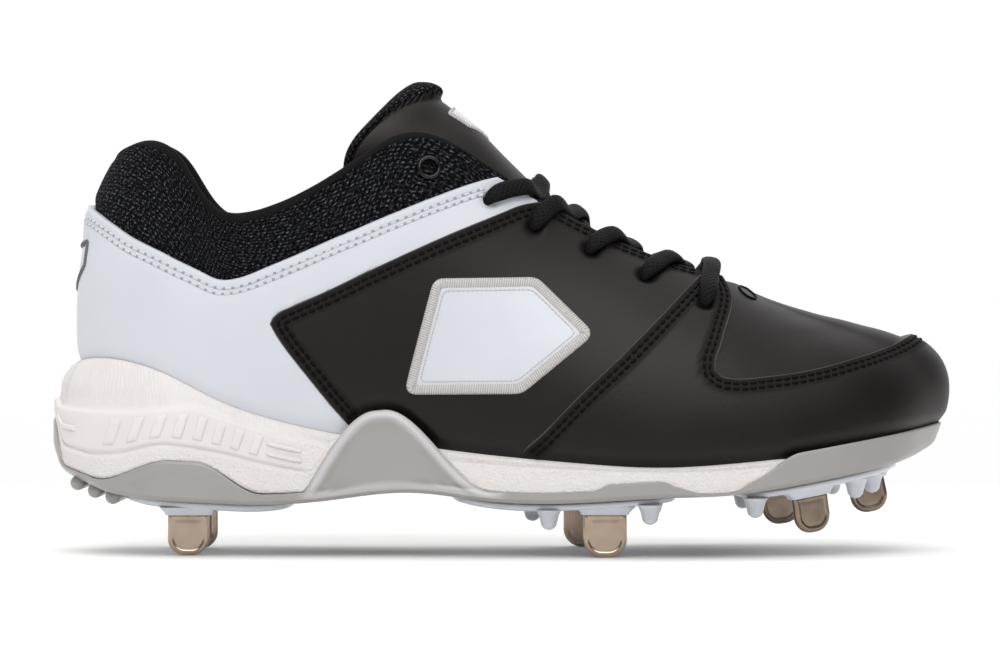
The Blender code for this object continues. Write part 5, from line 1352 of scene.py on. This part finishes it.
def plate_shell(back, front, width):
    """Plate: a squared-off oval section carried along the foot, narrowing and thinning at both ends."""
    t = crowded(91)[:, None]
    x = 0.5 * (back + front) + 0.5 * (front - back) * t
    swell = PLATE_END_ROUND + (1 - PLATE_END_ROUND) * np.sqrt(1 - np.abs(t) ** 4)
    swell = swell * quarter_circle((np.abs(t) - 0.93) / 0.07)
    lateral, medial = plate_edges(x)
    a = circle(48)[None, :]
    wide, tall = rounded(a, 0.3)[0], rounded(a, 0.55)[1]
    depth = PLATE_THICKNESS * (0.4 + 0.6 * np.sqrt(1 - np.abs(t) ** 4))
    y = 0.5 * (lateral + medial) + 0.5 * (medial - lateral) * width * swell * wide
    z = underside(x) + 0.2 - 0.5 * (depth + SEAT_GAP) * (1 - tall)
    return tube_shell(together(x, y, z))


def nub_shell(x, share):
    """Nub: a profile that tapers and rounds to its tip, turned about the upright."""
    lateral, medial = plate_edges(x)
    y = 0.5 * (lateral + medial) + 0.5 * (medial - lateral) * share
    t, a = np.linspace(0.0, 1.0, 22)[:, None], circle(32)[None, :]
    taper = NUB_ROOT + (NUB_TIP - NUB_ROOT) * t
    radius = (taper * quarter_circle((t - 0.72) / 0.28) + 0.9 * (1 - t) ** 6) * (t > 0)
    z = float(plate_face(x)) + SUNK - (NUB_LENGTH + SUNK) * np.maximum(t, 1 / 21.0 * (t > 0))
    return tube_shell(together(x + radius * np.cos(a), y + radius * np.sin(a), z))


def seated(points, spike):
    """Points of a boss or blade, drawn about its own seat, turned and leaned into place on its plate."""
    _, x, y, _, _, turn, lean = spike
    lean, turn = math.radians(-lean), math.radians(turn)
    by_lean = np.array([[math.cos(lean), 0, math.sin(lean)], [0, 1, 0], [-math.sin(lean), 0, math.cos(lean)]])
    by_turn = np.array([[math.cos(turn), -math.sin(turn), 0], [math.sin(turn), math.cos(turn), 0], [0, 0, 1]])
    return points @ (by_turn @ by_lean).T + np.array([x, y, float(plate_face(x))])


def boss_shell(spike):
    """Boss: squared-off oval rings that taper downwards and round over to the blade."""
    t, a = np.linspace(0.0, 1.0, 15)[:, None], circle(48)[None, :]
    wide, deep = rounded(a, 0.45)
    fall = np.clip((t - 0.1) / 0.6, 0, 1)
    size = (1 + (BOSS_TAPER - 1) * fall) * np.sqrt(np.clip(1 - ((t - 0.7) / 0.3).clip(0) ** 2 * 0.12, 0, 1))
    size = size * np.where((t == 0) | (t == 1), 0.0, 1.0)
    z = SUNK - (BOSS_HEIGHT + SUNK) * np.clip(t, 1 / 14, 13 / 14)
    half_width, half_depth = 0.5 * (spike[3] + BOSS_MARGIN), 0.5 * BOSS_DEPTH
    return tube_shell(seated(together(half_width * size * wide, half_depth * size * deep, z), spike))


for name, (back, front, width, nubs) in PLATES.items():
    shells = [plate_shell(back, front, width), *(nub_shell(*nub) for nub in nubs)]
    shells += [boss_shell(spike) for spike in SPIKES.values() if spike[0] == name]
    make_piece(name.replace("plate", "moulding"), shells, [white_tpu], [name], "white_plastic")

# %% Spikes
SPIKE_THICKNESS, SPIKE_CORNER_SHARE = 2.6, 0.43
BLADE_INSETS = (0.0, 0.15, 0.45, 0.85, 1.2, 1.5, 1.75, 2.0, 2.3, 2.8, 3.4, 4.2, 5.0)
BLADE_SINKS = (0.8, 0.5, 0.2, 0.02, 0.0, 0.04, 0.22, 0.22, 0.22, 0.2, 0.2, 0.2, 0.2)


def blade_outline(width, height, inset):
    """Outline of a blade set in by a distance: flat top, straight sides, and corners rounded at the tip."""
    half, top = 0.5 * width - inset, height - inset
    corner = max(SPIKE_CORNER_SHARE * width - inset, 0.3)
    turn = np.linspace(0.0, 0.5 * np.pi, 24)
    right = np.stack([half - corner + corner * np.cos(turn), inset + corner - corner * np.sin(turn)], -1)
    left = right[::-1] * (-1, 1)
    side = np.linspace(0.0, 1.0, 12)[1:-1, None]
    corner_low, corner_high = right[0], np.array([half, top])
    up = corner_high * (1 - side) + corner_low * side
    across = np.linspace(-1.0, 1.0, 14)[:, None] * (half, 0) + (0, top)
    down = left[-1] * (1 - side) + np.array([-half, top]) * side
    return np.concatenate([across, up, right, left[1:], down])


def blade_shell(spike):
    """Blade: outlines set in step by step from the rim to the middle, front and back, with the depth of a
    bevel at the rim and of a shallow pressed field inside it."""
    _, x, _, width, tip, _, lean = spike
    reach = (float(plate_face(x)) - tip) / math.cos(math.radians(lean))
    height = reach - BOSS_HEIGHT - SEAT_GAP
    tall = height + SUNK
    limit = 0.40 * min(width, tall)
    rings = [blade_outline(width, tall, min(i, limit)) for i in BLADE_INSETS]
    rings.append(np.broadcast_to(np.array([0.0, 0.5 * tall]), rings[-1].shape))
    depth = 0.5 * SPIKE_THICKNESS - np.array(BLADE_SINKS + BLADE_SINKS[-1:])
    front = [np.stack([r[:, 0], np.full(len(r), -d), r[:, 1] - reach], -1) for r, d in zip(rings, depth)]
    back = [ring * (1, -1, 1) for ring in front]
    return tube_shell(seated(np.stack(front[::-1] + back), spike))


for name, spike in SPIKES.items():
    # the toe plate's spikes take the darker copy: painted shade
    steel = shaded_steel if spike[0] == "toe_cleat_plate" else bright_steel
    make_piece(name.replace("spike", "blade"), [blade_shell(spike)], [steel], [name], "spike_steel")

# %% [markdown]
# ## Tongue
# The padded tongue arches over the instep under the laces and leans back at its top, where its edge is
# bound with the same knit as the collar. Its table runs from root to top; across it is an arc of a circle,
# and its thickness falls on a quarter circle at every border.

# %% Tongue
TONGUE_COLUMNS = ("x", "crown_z", "radius", "half_angle", "lean", "thickness")
TONGUE = np.array([
    (84, 72.2, 42, 16, 0.0, 2.2), (68, 79.0, 36, 22, 0.0, 2.6), (44, 88.9, 30, 30, 0.0, 3.0),
    (22, 102.0, 24, 41, 0.0, 3.4), (3, 119.8, 21, 60, 0.1, 3.8), (-8.5, 131.4, 20.5, 76, 0.45, 4.4),
    (-17, 138.0, 21, 88, 0.8, 5.0), (-24, 142.8, 21.5, 98, 0.92, 5.8), (-32, 143.2, 22, 106, 0.9, 5.0),
])
TONGUE_CENTRE_Y, LEAN_FULL, LEAN_FADE = 0.7, 13.0, 12.0


def tongue_row(s):
    """The tongue's columns on a cubic through the table, at a share of its length."""
    knots = np.linspace(0.0, 1.0, len(TONGUE))
    slopes, gap = np.gradient(TONGUE, knots, axis=0), knots[1]
    i = np.clip(np.searchsorted(knots, s, side="right") - 1, 0, len(TONGUE) - 2)
    t = ((s - knots[i]) / gap)[..., None]
    read = hermite(TONGUE[i], TONGUE[i + 1], slopes[i] * gap, slopes[i + 1] * gap, t)
    return dict(zip(TONGUE_COLUMNS, np.moveaxis(read, -1, 0)))


def tongue_point(s, across, inset):
    """Point of the tongue: an arc of the row's radius, less an inset in millimetres. It leans back by a
    share of its drop below the crown; the lean fades out low on the sides."""
    row = tongue_row(s)
    angle = np.radians(row["half_angle"]) * across
    radius = row["radius"] - inset
    drop = row["radius"] - radius * np.cos(angle)
    back = drop - np.clip(drop - LEAN_FULL, 0, LEAN_FADE) ** 2 / (2 * LEAN_FADE)
    y = TONGUE_CENTRE_Y + radius * np.sin(angle)
    return np.stack([row["x"] - row["lean"] * back, y, row["crown_z"] - drop], -1)


def knit_starts(across):
    """Share of the tongue's length at which the knitted roll begins: wide over the crown, narrow below."""
    out = np.abs(across)
    return 0.795 + 0.15 * smooth_step(out, 0.0, 0.62) + 0.02 * smooth_step(out, 0.6, 1.0)


s = np.concatenate([np.linspace(0.0, 0.86, 70), np.linspace(0.86, 1.0, 50)[1:]])[:, None]
s, across = np.broadcast_arrays(s, crowded(61)[None, :])
row = tongue_row(s)
full = quarter_circle((np.abs(across) - 0.9) / 0.1)
full = full * quarter_circle((s - 0.95) / 0.05) * quarter_circle((0.03 - s) / 0.03)
thick = row["thickness"] * (1 - 0.45 * across**4)
seam_dip = 0.7 * bell(s, knit_starts(across), 0.007)
roll_height = 1.0 + 1.4 * (1 - smooth_step(np.abs(across), 0.1, 0.65))
roll = roll_height * quarter_circle(1 - (s - knit_starts(across)) / 0.045)
face = tongue_point(s, across, 0.5 * thick * (1 - full) + (seam_dip - roll) * full)
back = tongue_point(s, across, thick - 0.5 * thick * (1 - full))
points, quads = closed_sheet(face, back)
width = row["radius"] * np.radians(row["half_angle"]) * across
uv = both_faces(np.stack([width, np.broadcast_to(run_along(face[:, 30])[:, None], s.shape)], -1))
is_knit = both_faces((s > knit_starts(across)).astype(int), 1)
quad_finish = is_knit.ravel()[quads].min(1)
tongue = make_piece(
    "tongue_pad", [shell(points, quads, uv, quad_finish)], [black_leather, knit], ["tongue"], "black_leather")

# %% [markdown]
# ## Lace and eyelets
# One lace runs through all the laced holes. A straight bar joins the lowest pair; from there each half dives
# into its hole, turns back under the eyestay, crosses the tongue and goes over the far eyestay into the next
# hole. Both ends stop inside the top laced holes. The lace is an oval carried along that path; each row of
# the path also says which way the flat side faces, and that direction turns over at every hole.

# %% Lace
LACE_WIDTH, LACE_THICKNESS = 5.6, 2.8
LACE_LIFT = 0.5 * LACE_THICKNESS + 0.1
LACE_TOEWARD = (0.30, 0.40, 0.30, 0.25, 0.45)  # stations towards the toe at the throat edge, for each hole
HOLE_GATHER = (1.0, 1.0, 0.95, 0.55, 0.35)  # share of the lace's width on its way into a hole
BAR_RISE, UNDER_EYESTAY, UNDER_EDGE = 1.6, -4.4, -4.0


def side_station(station, side):
    """A lateral station as it is, or the same place on the medial side."""
    return station if side < 0 else STATIONS - station


def panel_lift(k):
    """Face of the leather that carries a pair of laced holes."""
    return GUARD_LIFT if k == 0 else COUNTER_LIFT if k == len(LACE_HOLES) - 1 else QUARTER_LIFT


def over_tongue(x, y, lift):
    """Place and normal on the tongue's face, where its sections stand upright."""
    s = np.linspace(0.0, 0.62, 300)
    row = tongue_row(s)
    crown, radius = (np.interp(-x, -row["x"], row[name]) for name in ("crown_z", "radius"))
    behind, ahead = (np.interp(-x + step, -row["x"], row["crown_z"]) for step in (1, -1))
    slope = (ahead - behind) / 2
    fall = math.sqrt(max(radius**2 - (y - TONGUE_CENTRE_Y) ** 2, 1.0))
    normal = unit(np.array([-slope, (y - TONGUE_CENTRE_Y) / fall, 1.0]))
    return np.array([x, y, crown - radius + fall]) + normal * lift, normal


def into_hole(k, side):
    """Rows from the throat edge over the eyestay into a laced hole. With each goes the way the flat side
    faces and the share of the lace's width, which is gathered in the hole."""
    station, share = LACE_HOLES[k]
    lift = panel_lift(k) + LACE_LIFT
    shares = np.array([0.995, 0.55 + 0.45 * share, share + 0.024, share - 0.004, share])
    steps = np.array([1.0, 0.50, 0.1, -0.05, -0.04]) * LACE_TOEWARD[k]
    lifts = np.array([lift + 0.1, lift, lift - 0.1, lift - 2.0, -3.0])
    stations = side_station(station + steps, side)
    points, normals = wall_point(stations, shares, lifts), last_normal(stations, shares)
    going = unit(points[2] - points[0])
    facing = np.stack([normals[0], normals[1], 0.7 * normals[2] + 0.7 * going, going, going])
    return points, np.column_stack([facing, HOLE_GATHER])


def crossing(k, side, raised):
    """Rows from under one eyestay, over the tongue, to the edge of the other; side is where it ends."""
    under_station = side_station(LACE_HOLES[k - 1][0] + (0.2 if k == len(LACE_HOLES) - 1 else 0.05), -side)
    begin, goal = wall_point(under_station, 1.0, UNDER_EDGE), into_hole(k, side)[0][0]
    rows = [(wall_point(under_station, 0.93, UNDER_EYESTAY), last_normal(under_station, 0.93))]
    for t, extra in ((0.22, 0.0), (0.5, raised), (0.78, 0.6)):
        x, y = begin[0] * (1 - t) + goal[0] * t, begin[1] * (1 - t) + goal[1] * t
        point, normal = over_tongue(x, y, LACE_LIFT + extra)
        point[2] = max(point[2], begin[2] * (1 - t) + goal[2] * t + extra - 1.0) if t > 0.4 else point[2]
        rows.append((point, normal))
    return np.array([r[0] for r in rows]), np.array([(*r[1], 1.0) for r in rows])


def lace_half(side):
    """Rows from the middle of the lowest bar out through one side's holes, to the top. The two halves take
    turns to lie on top where they cross."""
    points, facing = into_hole(0, side)
    middle = 0.5 * (points[0] + into_hole(0, -side)[0][0]) + (0, 0, BAR_RISE)
    path, faces = [middle[None], points], [np.array([[0.1, 0.0, 1.0, 1.0]]), facing]
    sign, here = -1.0, side
    for k in range(1, len(LACE_HOLES)):
        here = -here
        on_top = (k + (side > 0)) % 2 == 0
        raised = LACE_THICKNESS * (0.6 if k == len(LACE_HOLES) - 1 else 0.95) if on_top else 0.0
        for points, facing in (crossing(k, here, raised), into_hole(k, here)):
            path.append(points)
            faces.append(facing * (sign, sign, sign, 1.0))
        sign = -sign
    return np.concatenate(path), np.concatenate(faces)


LACE_SECTIONS, LACE_SIDES, LACE_SOFTNESS, LACE_END, FACING_WEIGHT = 900, 20, 11, 3.0, 3.0
path, facing = (np.concatenate([one[::-1], other[1:]]) for one, other in zip(lace_half(-1), lace_half(1)))
run = smooth_path(np.concatenate([path, FACING_WEIGHT * facing], axis=1), LACE_SECTIONS)
soft = np.hanning(LACE_SOFTNESS + 2)[1:-1]
padded_run = np.pad(run, ((LACE_SOFTNESS // 2, LACE_SOFTNESS // 2), (0, 0)), "edge")
run = np.stack([np.convolve(one, soft / soft.sum(), "valid") for one in padded_run.T], -1)
centre, facing, gather = run[:, :3], run[:, 3:6], run[:, 6:] / FACING_WEIGHT
along = unit(np.gradient(centre, axis=0))
side_way = unit(np.cross(along, facing))
up_way = np.cross(side_way, along)
turn = np.arange(LACE_SIDES + 1) * 2 * np.pi / LACE_SIDES
wide, tall = rounded(turn, 0.85)
from_end = np.minimum(np.arange(LACE_SECTIONS), np.arange(LACE_SECTIONS)[::-1])
oval = (side_way[:, None] * (0.5 * LACE_WIDTH * gather * wide)[:, :, None]
        + up_way[:, None] * (0.5 * LACE_THICKNESS * tall)[None, :, None])
tube = centre[:, None] + oval * quarter_circle(1 - from_end / LACE_END)[:, None, None]
length = run_along(centre)
uv = together(length[:, None], turn[None, :])
make_piece("lace", [shell(tube, grid_quads(LACE_SECTIONS, LACE_SIDES + 1), uv)], [cord],
           ["lace_bar"] + [f"lace_cross_{k}" for k in range(1, 5)], "black_cord")
print("lace length, mm:", length[-1].round(0))

# %% [markdown]
# ** Eyelets.** The unlaced hole at the top of each eyestay has an enamelled ring: a rolled flange round a
# bore that a flat disc in the black lining finish closes: the lining, and painted shade down the hole.

# %% Eyelets
EYELET_PROFILE = np.array([
    (0.0, -0.45), (2.1, -0.45), (2.3, -0.1), (2.4, 0.5), (2.6, 0.85), (2.95, 1.0), (3.4, 0.9), (3.7, 0.55),
    (3.75, 0.2), (3.6, -0.5), (0.0, -0.6),
])
EYELET_POINTS, EYELET_PROUD, BORE_RADIUS = 48, 0.55, 2.3
profile = smooth_path(EYELET_PROFILE, EYELET_POINTS)
profile[[0, -1], 0] = 0.0
on_face = np.arange(EYELET_POINTS - 1) < EYELET_POINTS // 2
# the disc that closes the bore: black lining and painted shade down the hole
in_bore_shade = np.repeat((profile[:-1, 0] < BORE_RADIUS) & on_face, EYELET_POINTS).astype(int)
a = circle(EYELET_POINTS)[:, None]
for name, side in (("eyelet_lateral", -1), ("eyelet_medial", 1)):
    place = np.array(side_station(TOP_EYELET[0], side)), np.array(TOP_EYELET[1])
    normal = last_normal(*place)
    centre = wall_point(*place, EYELET_PROUD + upper_relief(*place))
    first = unit(np.cross(normal, (0.0, 0.0, 1.0)))
    radial = first * np.cos(a) + np.cross(normal, first) * np.sin(a)
    points = centre + profile[:, :1, None] * radial[None] + profile[:, 1:, None] * normal
    make_piece(name.replace("eyelet", "eyelet_ring"), [tube_shell(points, finish=in_bore_shade)], [enamel, lining],
               [name], "black_metal")

# %% [markdown]
# ## Patches
# A plain home plate of white leather is sewn to each quarter, with a border of satin stitches, which are
# threads laid side by side, and a fine seam inside it. A small one is sewn to the tongue, and one is only
# stitched on the heel. Each outline is drawn flat, in millimetres, and a function carries it to its place:
# on the sides Newton's method finds where the last has the drawn x and z.

# %% Patch helpers
SATIN_PITCH = 0.55


def find_on_last(first, second, axes, stations, shares):
    """Station and share whose point has two given coordinates: the nearest of a coarse table, then
    Newton steps."""
    table = np.meshgrid(np.linspace(*stations, 80), np.linspace(*shares, 40), indexing="ij")
    table = np.stack(table, -1).reshape(-1, 2)
    known = last_point(*table.T)[:, axes]
    target = np.stack([first, second], -1).reshape(-1, 2)
    blocks = np.array_split(target, max(1, len(target) // 1000))
    found = np.concatenate([table[((b[:, None] - known[None]) ** 2).sum(-1).argmin(1)] for b in blocks])
    for _ in range(6):
        missing = target - last_point(*found.T)[:, axes]
        by_station, by_share = (slope[:, axes] for slope in last_slopes(*found.T))
        (a, c), (b, d), (u, v) = by_station.T, by_share.T, missing.T
        found = found + np.stack([d * u - b * v, a * v - c * u], -1) / (a * d - b * c)[:, None]
    return found.T.reshape(2, *np.shape(first))


def rounded_outline(corners, rounding, count):
    """Closed outline with its corners rounded by a running mean, as a number of even steps."""
    fine = resample(np.vstack([corners, corners[:1]]), 0.1)[:-1]
    window = int(rounding / 0.1)
    kernel = np.hanning(window + 2)[1:-1]
    wrapped = np.concatenate([fine[-window:], fine, fine[:window]])
    fine = np.stack([np.convolve(one, kernel / kernel.sum(), "same") for one in wrapped.T], -1)
    fine = fine[window:-window]
    return resample(np.vstack([fine, fine[:1]]), count=count + 1)


def set_in(corners, distance):
    """Corners of the same figure set in by a distance, each along the bisector of its two sides."""
    sides = np.roll(corners, -1, 0) - corners
    normals = unit(np.stack([sides[:, 1], -sides[:, 0]], -1))
    area = (corners[:, 0] * np.roll(corners[:, 1], -1) - corners[:, 1] * np.roll(corners[:, 0], -1)).sum()
    normals = normals * np.sign(area)
    before = np.roll(normals, 1, 0)
    return corners - distance * (before + normals) / (1 + (before * normals).sum(1))[:, None]


def closed_slopes(line):
    """Differences along a closed line whose last point repeats its first."""
    return np.gradient(np.vstack([line[-2], line, line[1]]), axis=0)[1:-1]


def patch_field(place, outline, lift, centre=None):
    """Leather within an outline: rings that shrink to its centre, with a face and a back."""
    t = np.linspace(0.0, 1.0, 10)[None, :, None]
    centre = outline.mean(0) if centre is None else np.asarray(centre)
    flat = centre * (1 - t) + outline[:, None] * t
    return tube_shell(np.concatenate([place(flat, lift + 0.5), place(flat[:, ::-1], lift - 0.6)], axis=1))


def satin_border(place, corners, rounding, width, lift, pitch=SATIN_PITCH):
    """Border of satin stitches: an oval carried along the outline, ridged once for every thread."""
    threads = int(np.linalg.norm(np.roll(corners, -1, 0) - corners, axis=1).sum() / pitch)
    line = rounded_outline(corners, rounding, 4 * threads)
    along = closed_slopes(line)
    away = unit(np.stack([along[:, 1], -along[:, 0]], -1))
    turn = circle(10)
    flat = line[:, None] + away[:, None] * (0.5 * width * np.cos(turn))[None, :, None]
    ridge = np.cos(2 * np.pi * np.arange(len(line)) / 4.0)[:, None]
    up = np.sin(turn)[None, :]
    height = lift + 0.1 + np.where(up > 0, 0.18 * width + 0.3, 0.6) * up + 0.13 * ridge * (up > -0.1)
    uv = together(run_along(line)[:, None], 0.5 * width * np.cos(turn))
    return tube_shell(place(flat, height), uv)


def on_quarter(medial):
    """Carries a drawing in the side view to the quarter on one side."""
    def place(flat, lift):
        station, share = find_on_last(flat[..., 0], flat[..., 1], [0, 2], (5.0, 11.5), (0.05, 0.85))
        station = STATIONS - station if medial else station
        return wall_point(station, share, np.broadcast_to(lift, station.shape))
    return place


def on_tongue(flat, lift):
    """Carries a drawing to the front of the tongue: across its arc, and along its length."""
    s = 0.665 + flat[..., 1] / 108.0
    across = flat[..., 0] / (21.0 * np.radians(74.0))
    return tongue_point(s, across, -np.broadcast_to(lift, s.shape))


def on_heel(flat, lift):
    """Carries a drawing to the back of the heel."""
    station, share = flat[..., 0] / 18.5, 0.565 + flat[..., 1] / 85.0
    return wall_point(station, share, lift + heel_pad(station, share))


# %% Sewn patches
SIDE_CORNERS = np.array([(-20, 82.5), (9, 82.5), (25, 67), (5, 51), (-28, 51)], float)
TONGUE_CORNERS = np.array([(-7, 7), (7, 7), (7, -2), (0, -9), (-7, -2)], float)
HEEL_CORNERS = np.array([(-9, 6), (9, 6), (9, -1), (0, -7), (-9, -1)], float)
SIDE_BORDER, SIDE_ROUND, SMALL_ROUND, SEAM_INSET, SEAM_PITCH = 3.2, 6.0, 3.0, 2.3, 1.4
sewn = {}
for name, medial in (("side_patch_lateral", False), ("side_patch_medial", True)):
    place = on_quarter(medial)
    field = patch_field(place, rounded_outline(SIDE_CORNERS, SIDE_ROUND, 300), QUARTER_LIFT)
    border = satin_border(place, SIDE_CORNERS, SIDE_ROUND, SIDE_BORDER, QUARTER_LIFT)
    inner = set_in(SIDE_CORNERS, SEAM_INSET)
    seam = satin_border(place, inner, SIDE_ROUND, 0.5, QUARTER_LIFT + 0.2, SEAM_PITCH)
    sewn[name] = [field], white_leather
    sewn[name + "_border"] = [border, seam], grey_thread
field = patch_field(on_tongue, rounded_outline(TONGUE_CORNERS, SMALL_ROUND, 160), -0.2, (0.0, 0.0))
sewn["tongue_patch"] = [field], white_leather
sewn["tongue_patch_border"] = [satin_border(on_tongue, TONGUE_CORNERS, SMALL_ROUND, 1.5, -0.1)], grey_thread
outline = satin_border(on_heel, HEEL_CORNERS, SMALL_ROUND, 1.8, COUNTER_LIFT - 0.2)
sewn["heel_stitched_outline"] = [outline], dark_thread
for name, (shells, finish) in sewn.items():
    make_piece(name, shells, [finish], slot="white_leather")

# %% [markdown]
# **Vamp tack.** Where the tongue meets the vamp, a flat bow of thread holds the two together. Its line is a
# figure of eight in plan, carried down on to the vamp.

# %% Vamp tack
TACK_MIDDLE, TACK_REACH, TACK_WIDTH, TACK_RADIUS, TACK_LIFT = (75.0, 1.5), 13.4, 2.6, 0.3, 0.25
t = np.linspace(0.0, 2 * np.pi, 161)
x, y = TACK_MIDDLE[0] + TACK_WIDTH * np.sin(2 * t), TACK_MIDDLE[1] + TACK_REACH * np.sin(t)
station, share = find_on_last(x, y, [0, 1], (11.0, 19.0), (0.55, 0.995))
axis, up = wall_point(station, share, np.full(t.shape, TACK_LIFT)), last_normal(station, share)
side = unit(np.cross(up, closed_slopes(axis)))
turn = circle(8)[:, None]
points = axis[:, None] + TACK_RADIUS * (side[:, None] * np.cos(turn) + up[:, None] * np.sin(turn))
make_piece("vamp_tack", [tube_shell(points)], [black_thread], slot="black_leather")

# %% [markdown]
# ## Size
# The box round the dressed shoe is printed, in millimetres.

# %% Print the size
low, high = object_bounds()
print("visual box, mm:", [round(v / MM, 1) for v in (*low, *high)])
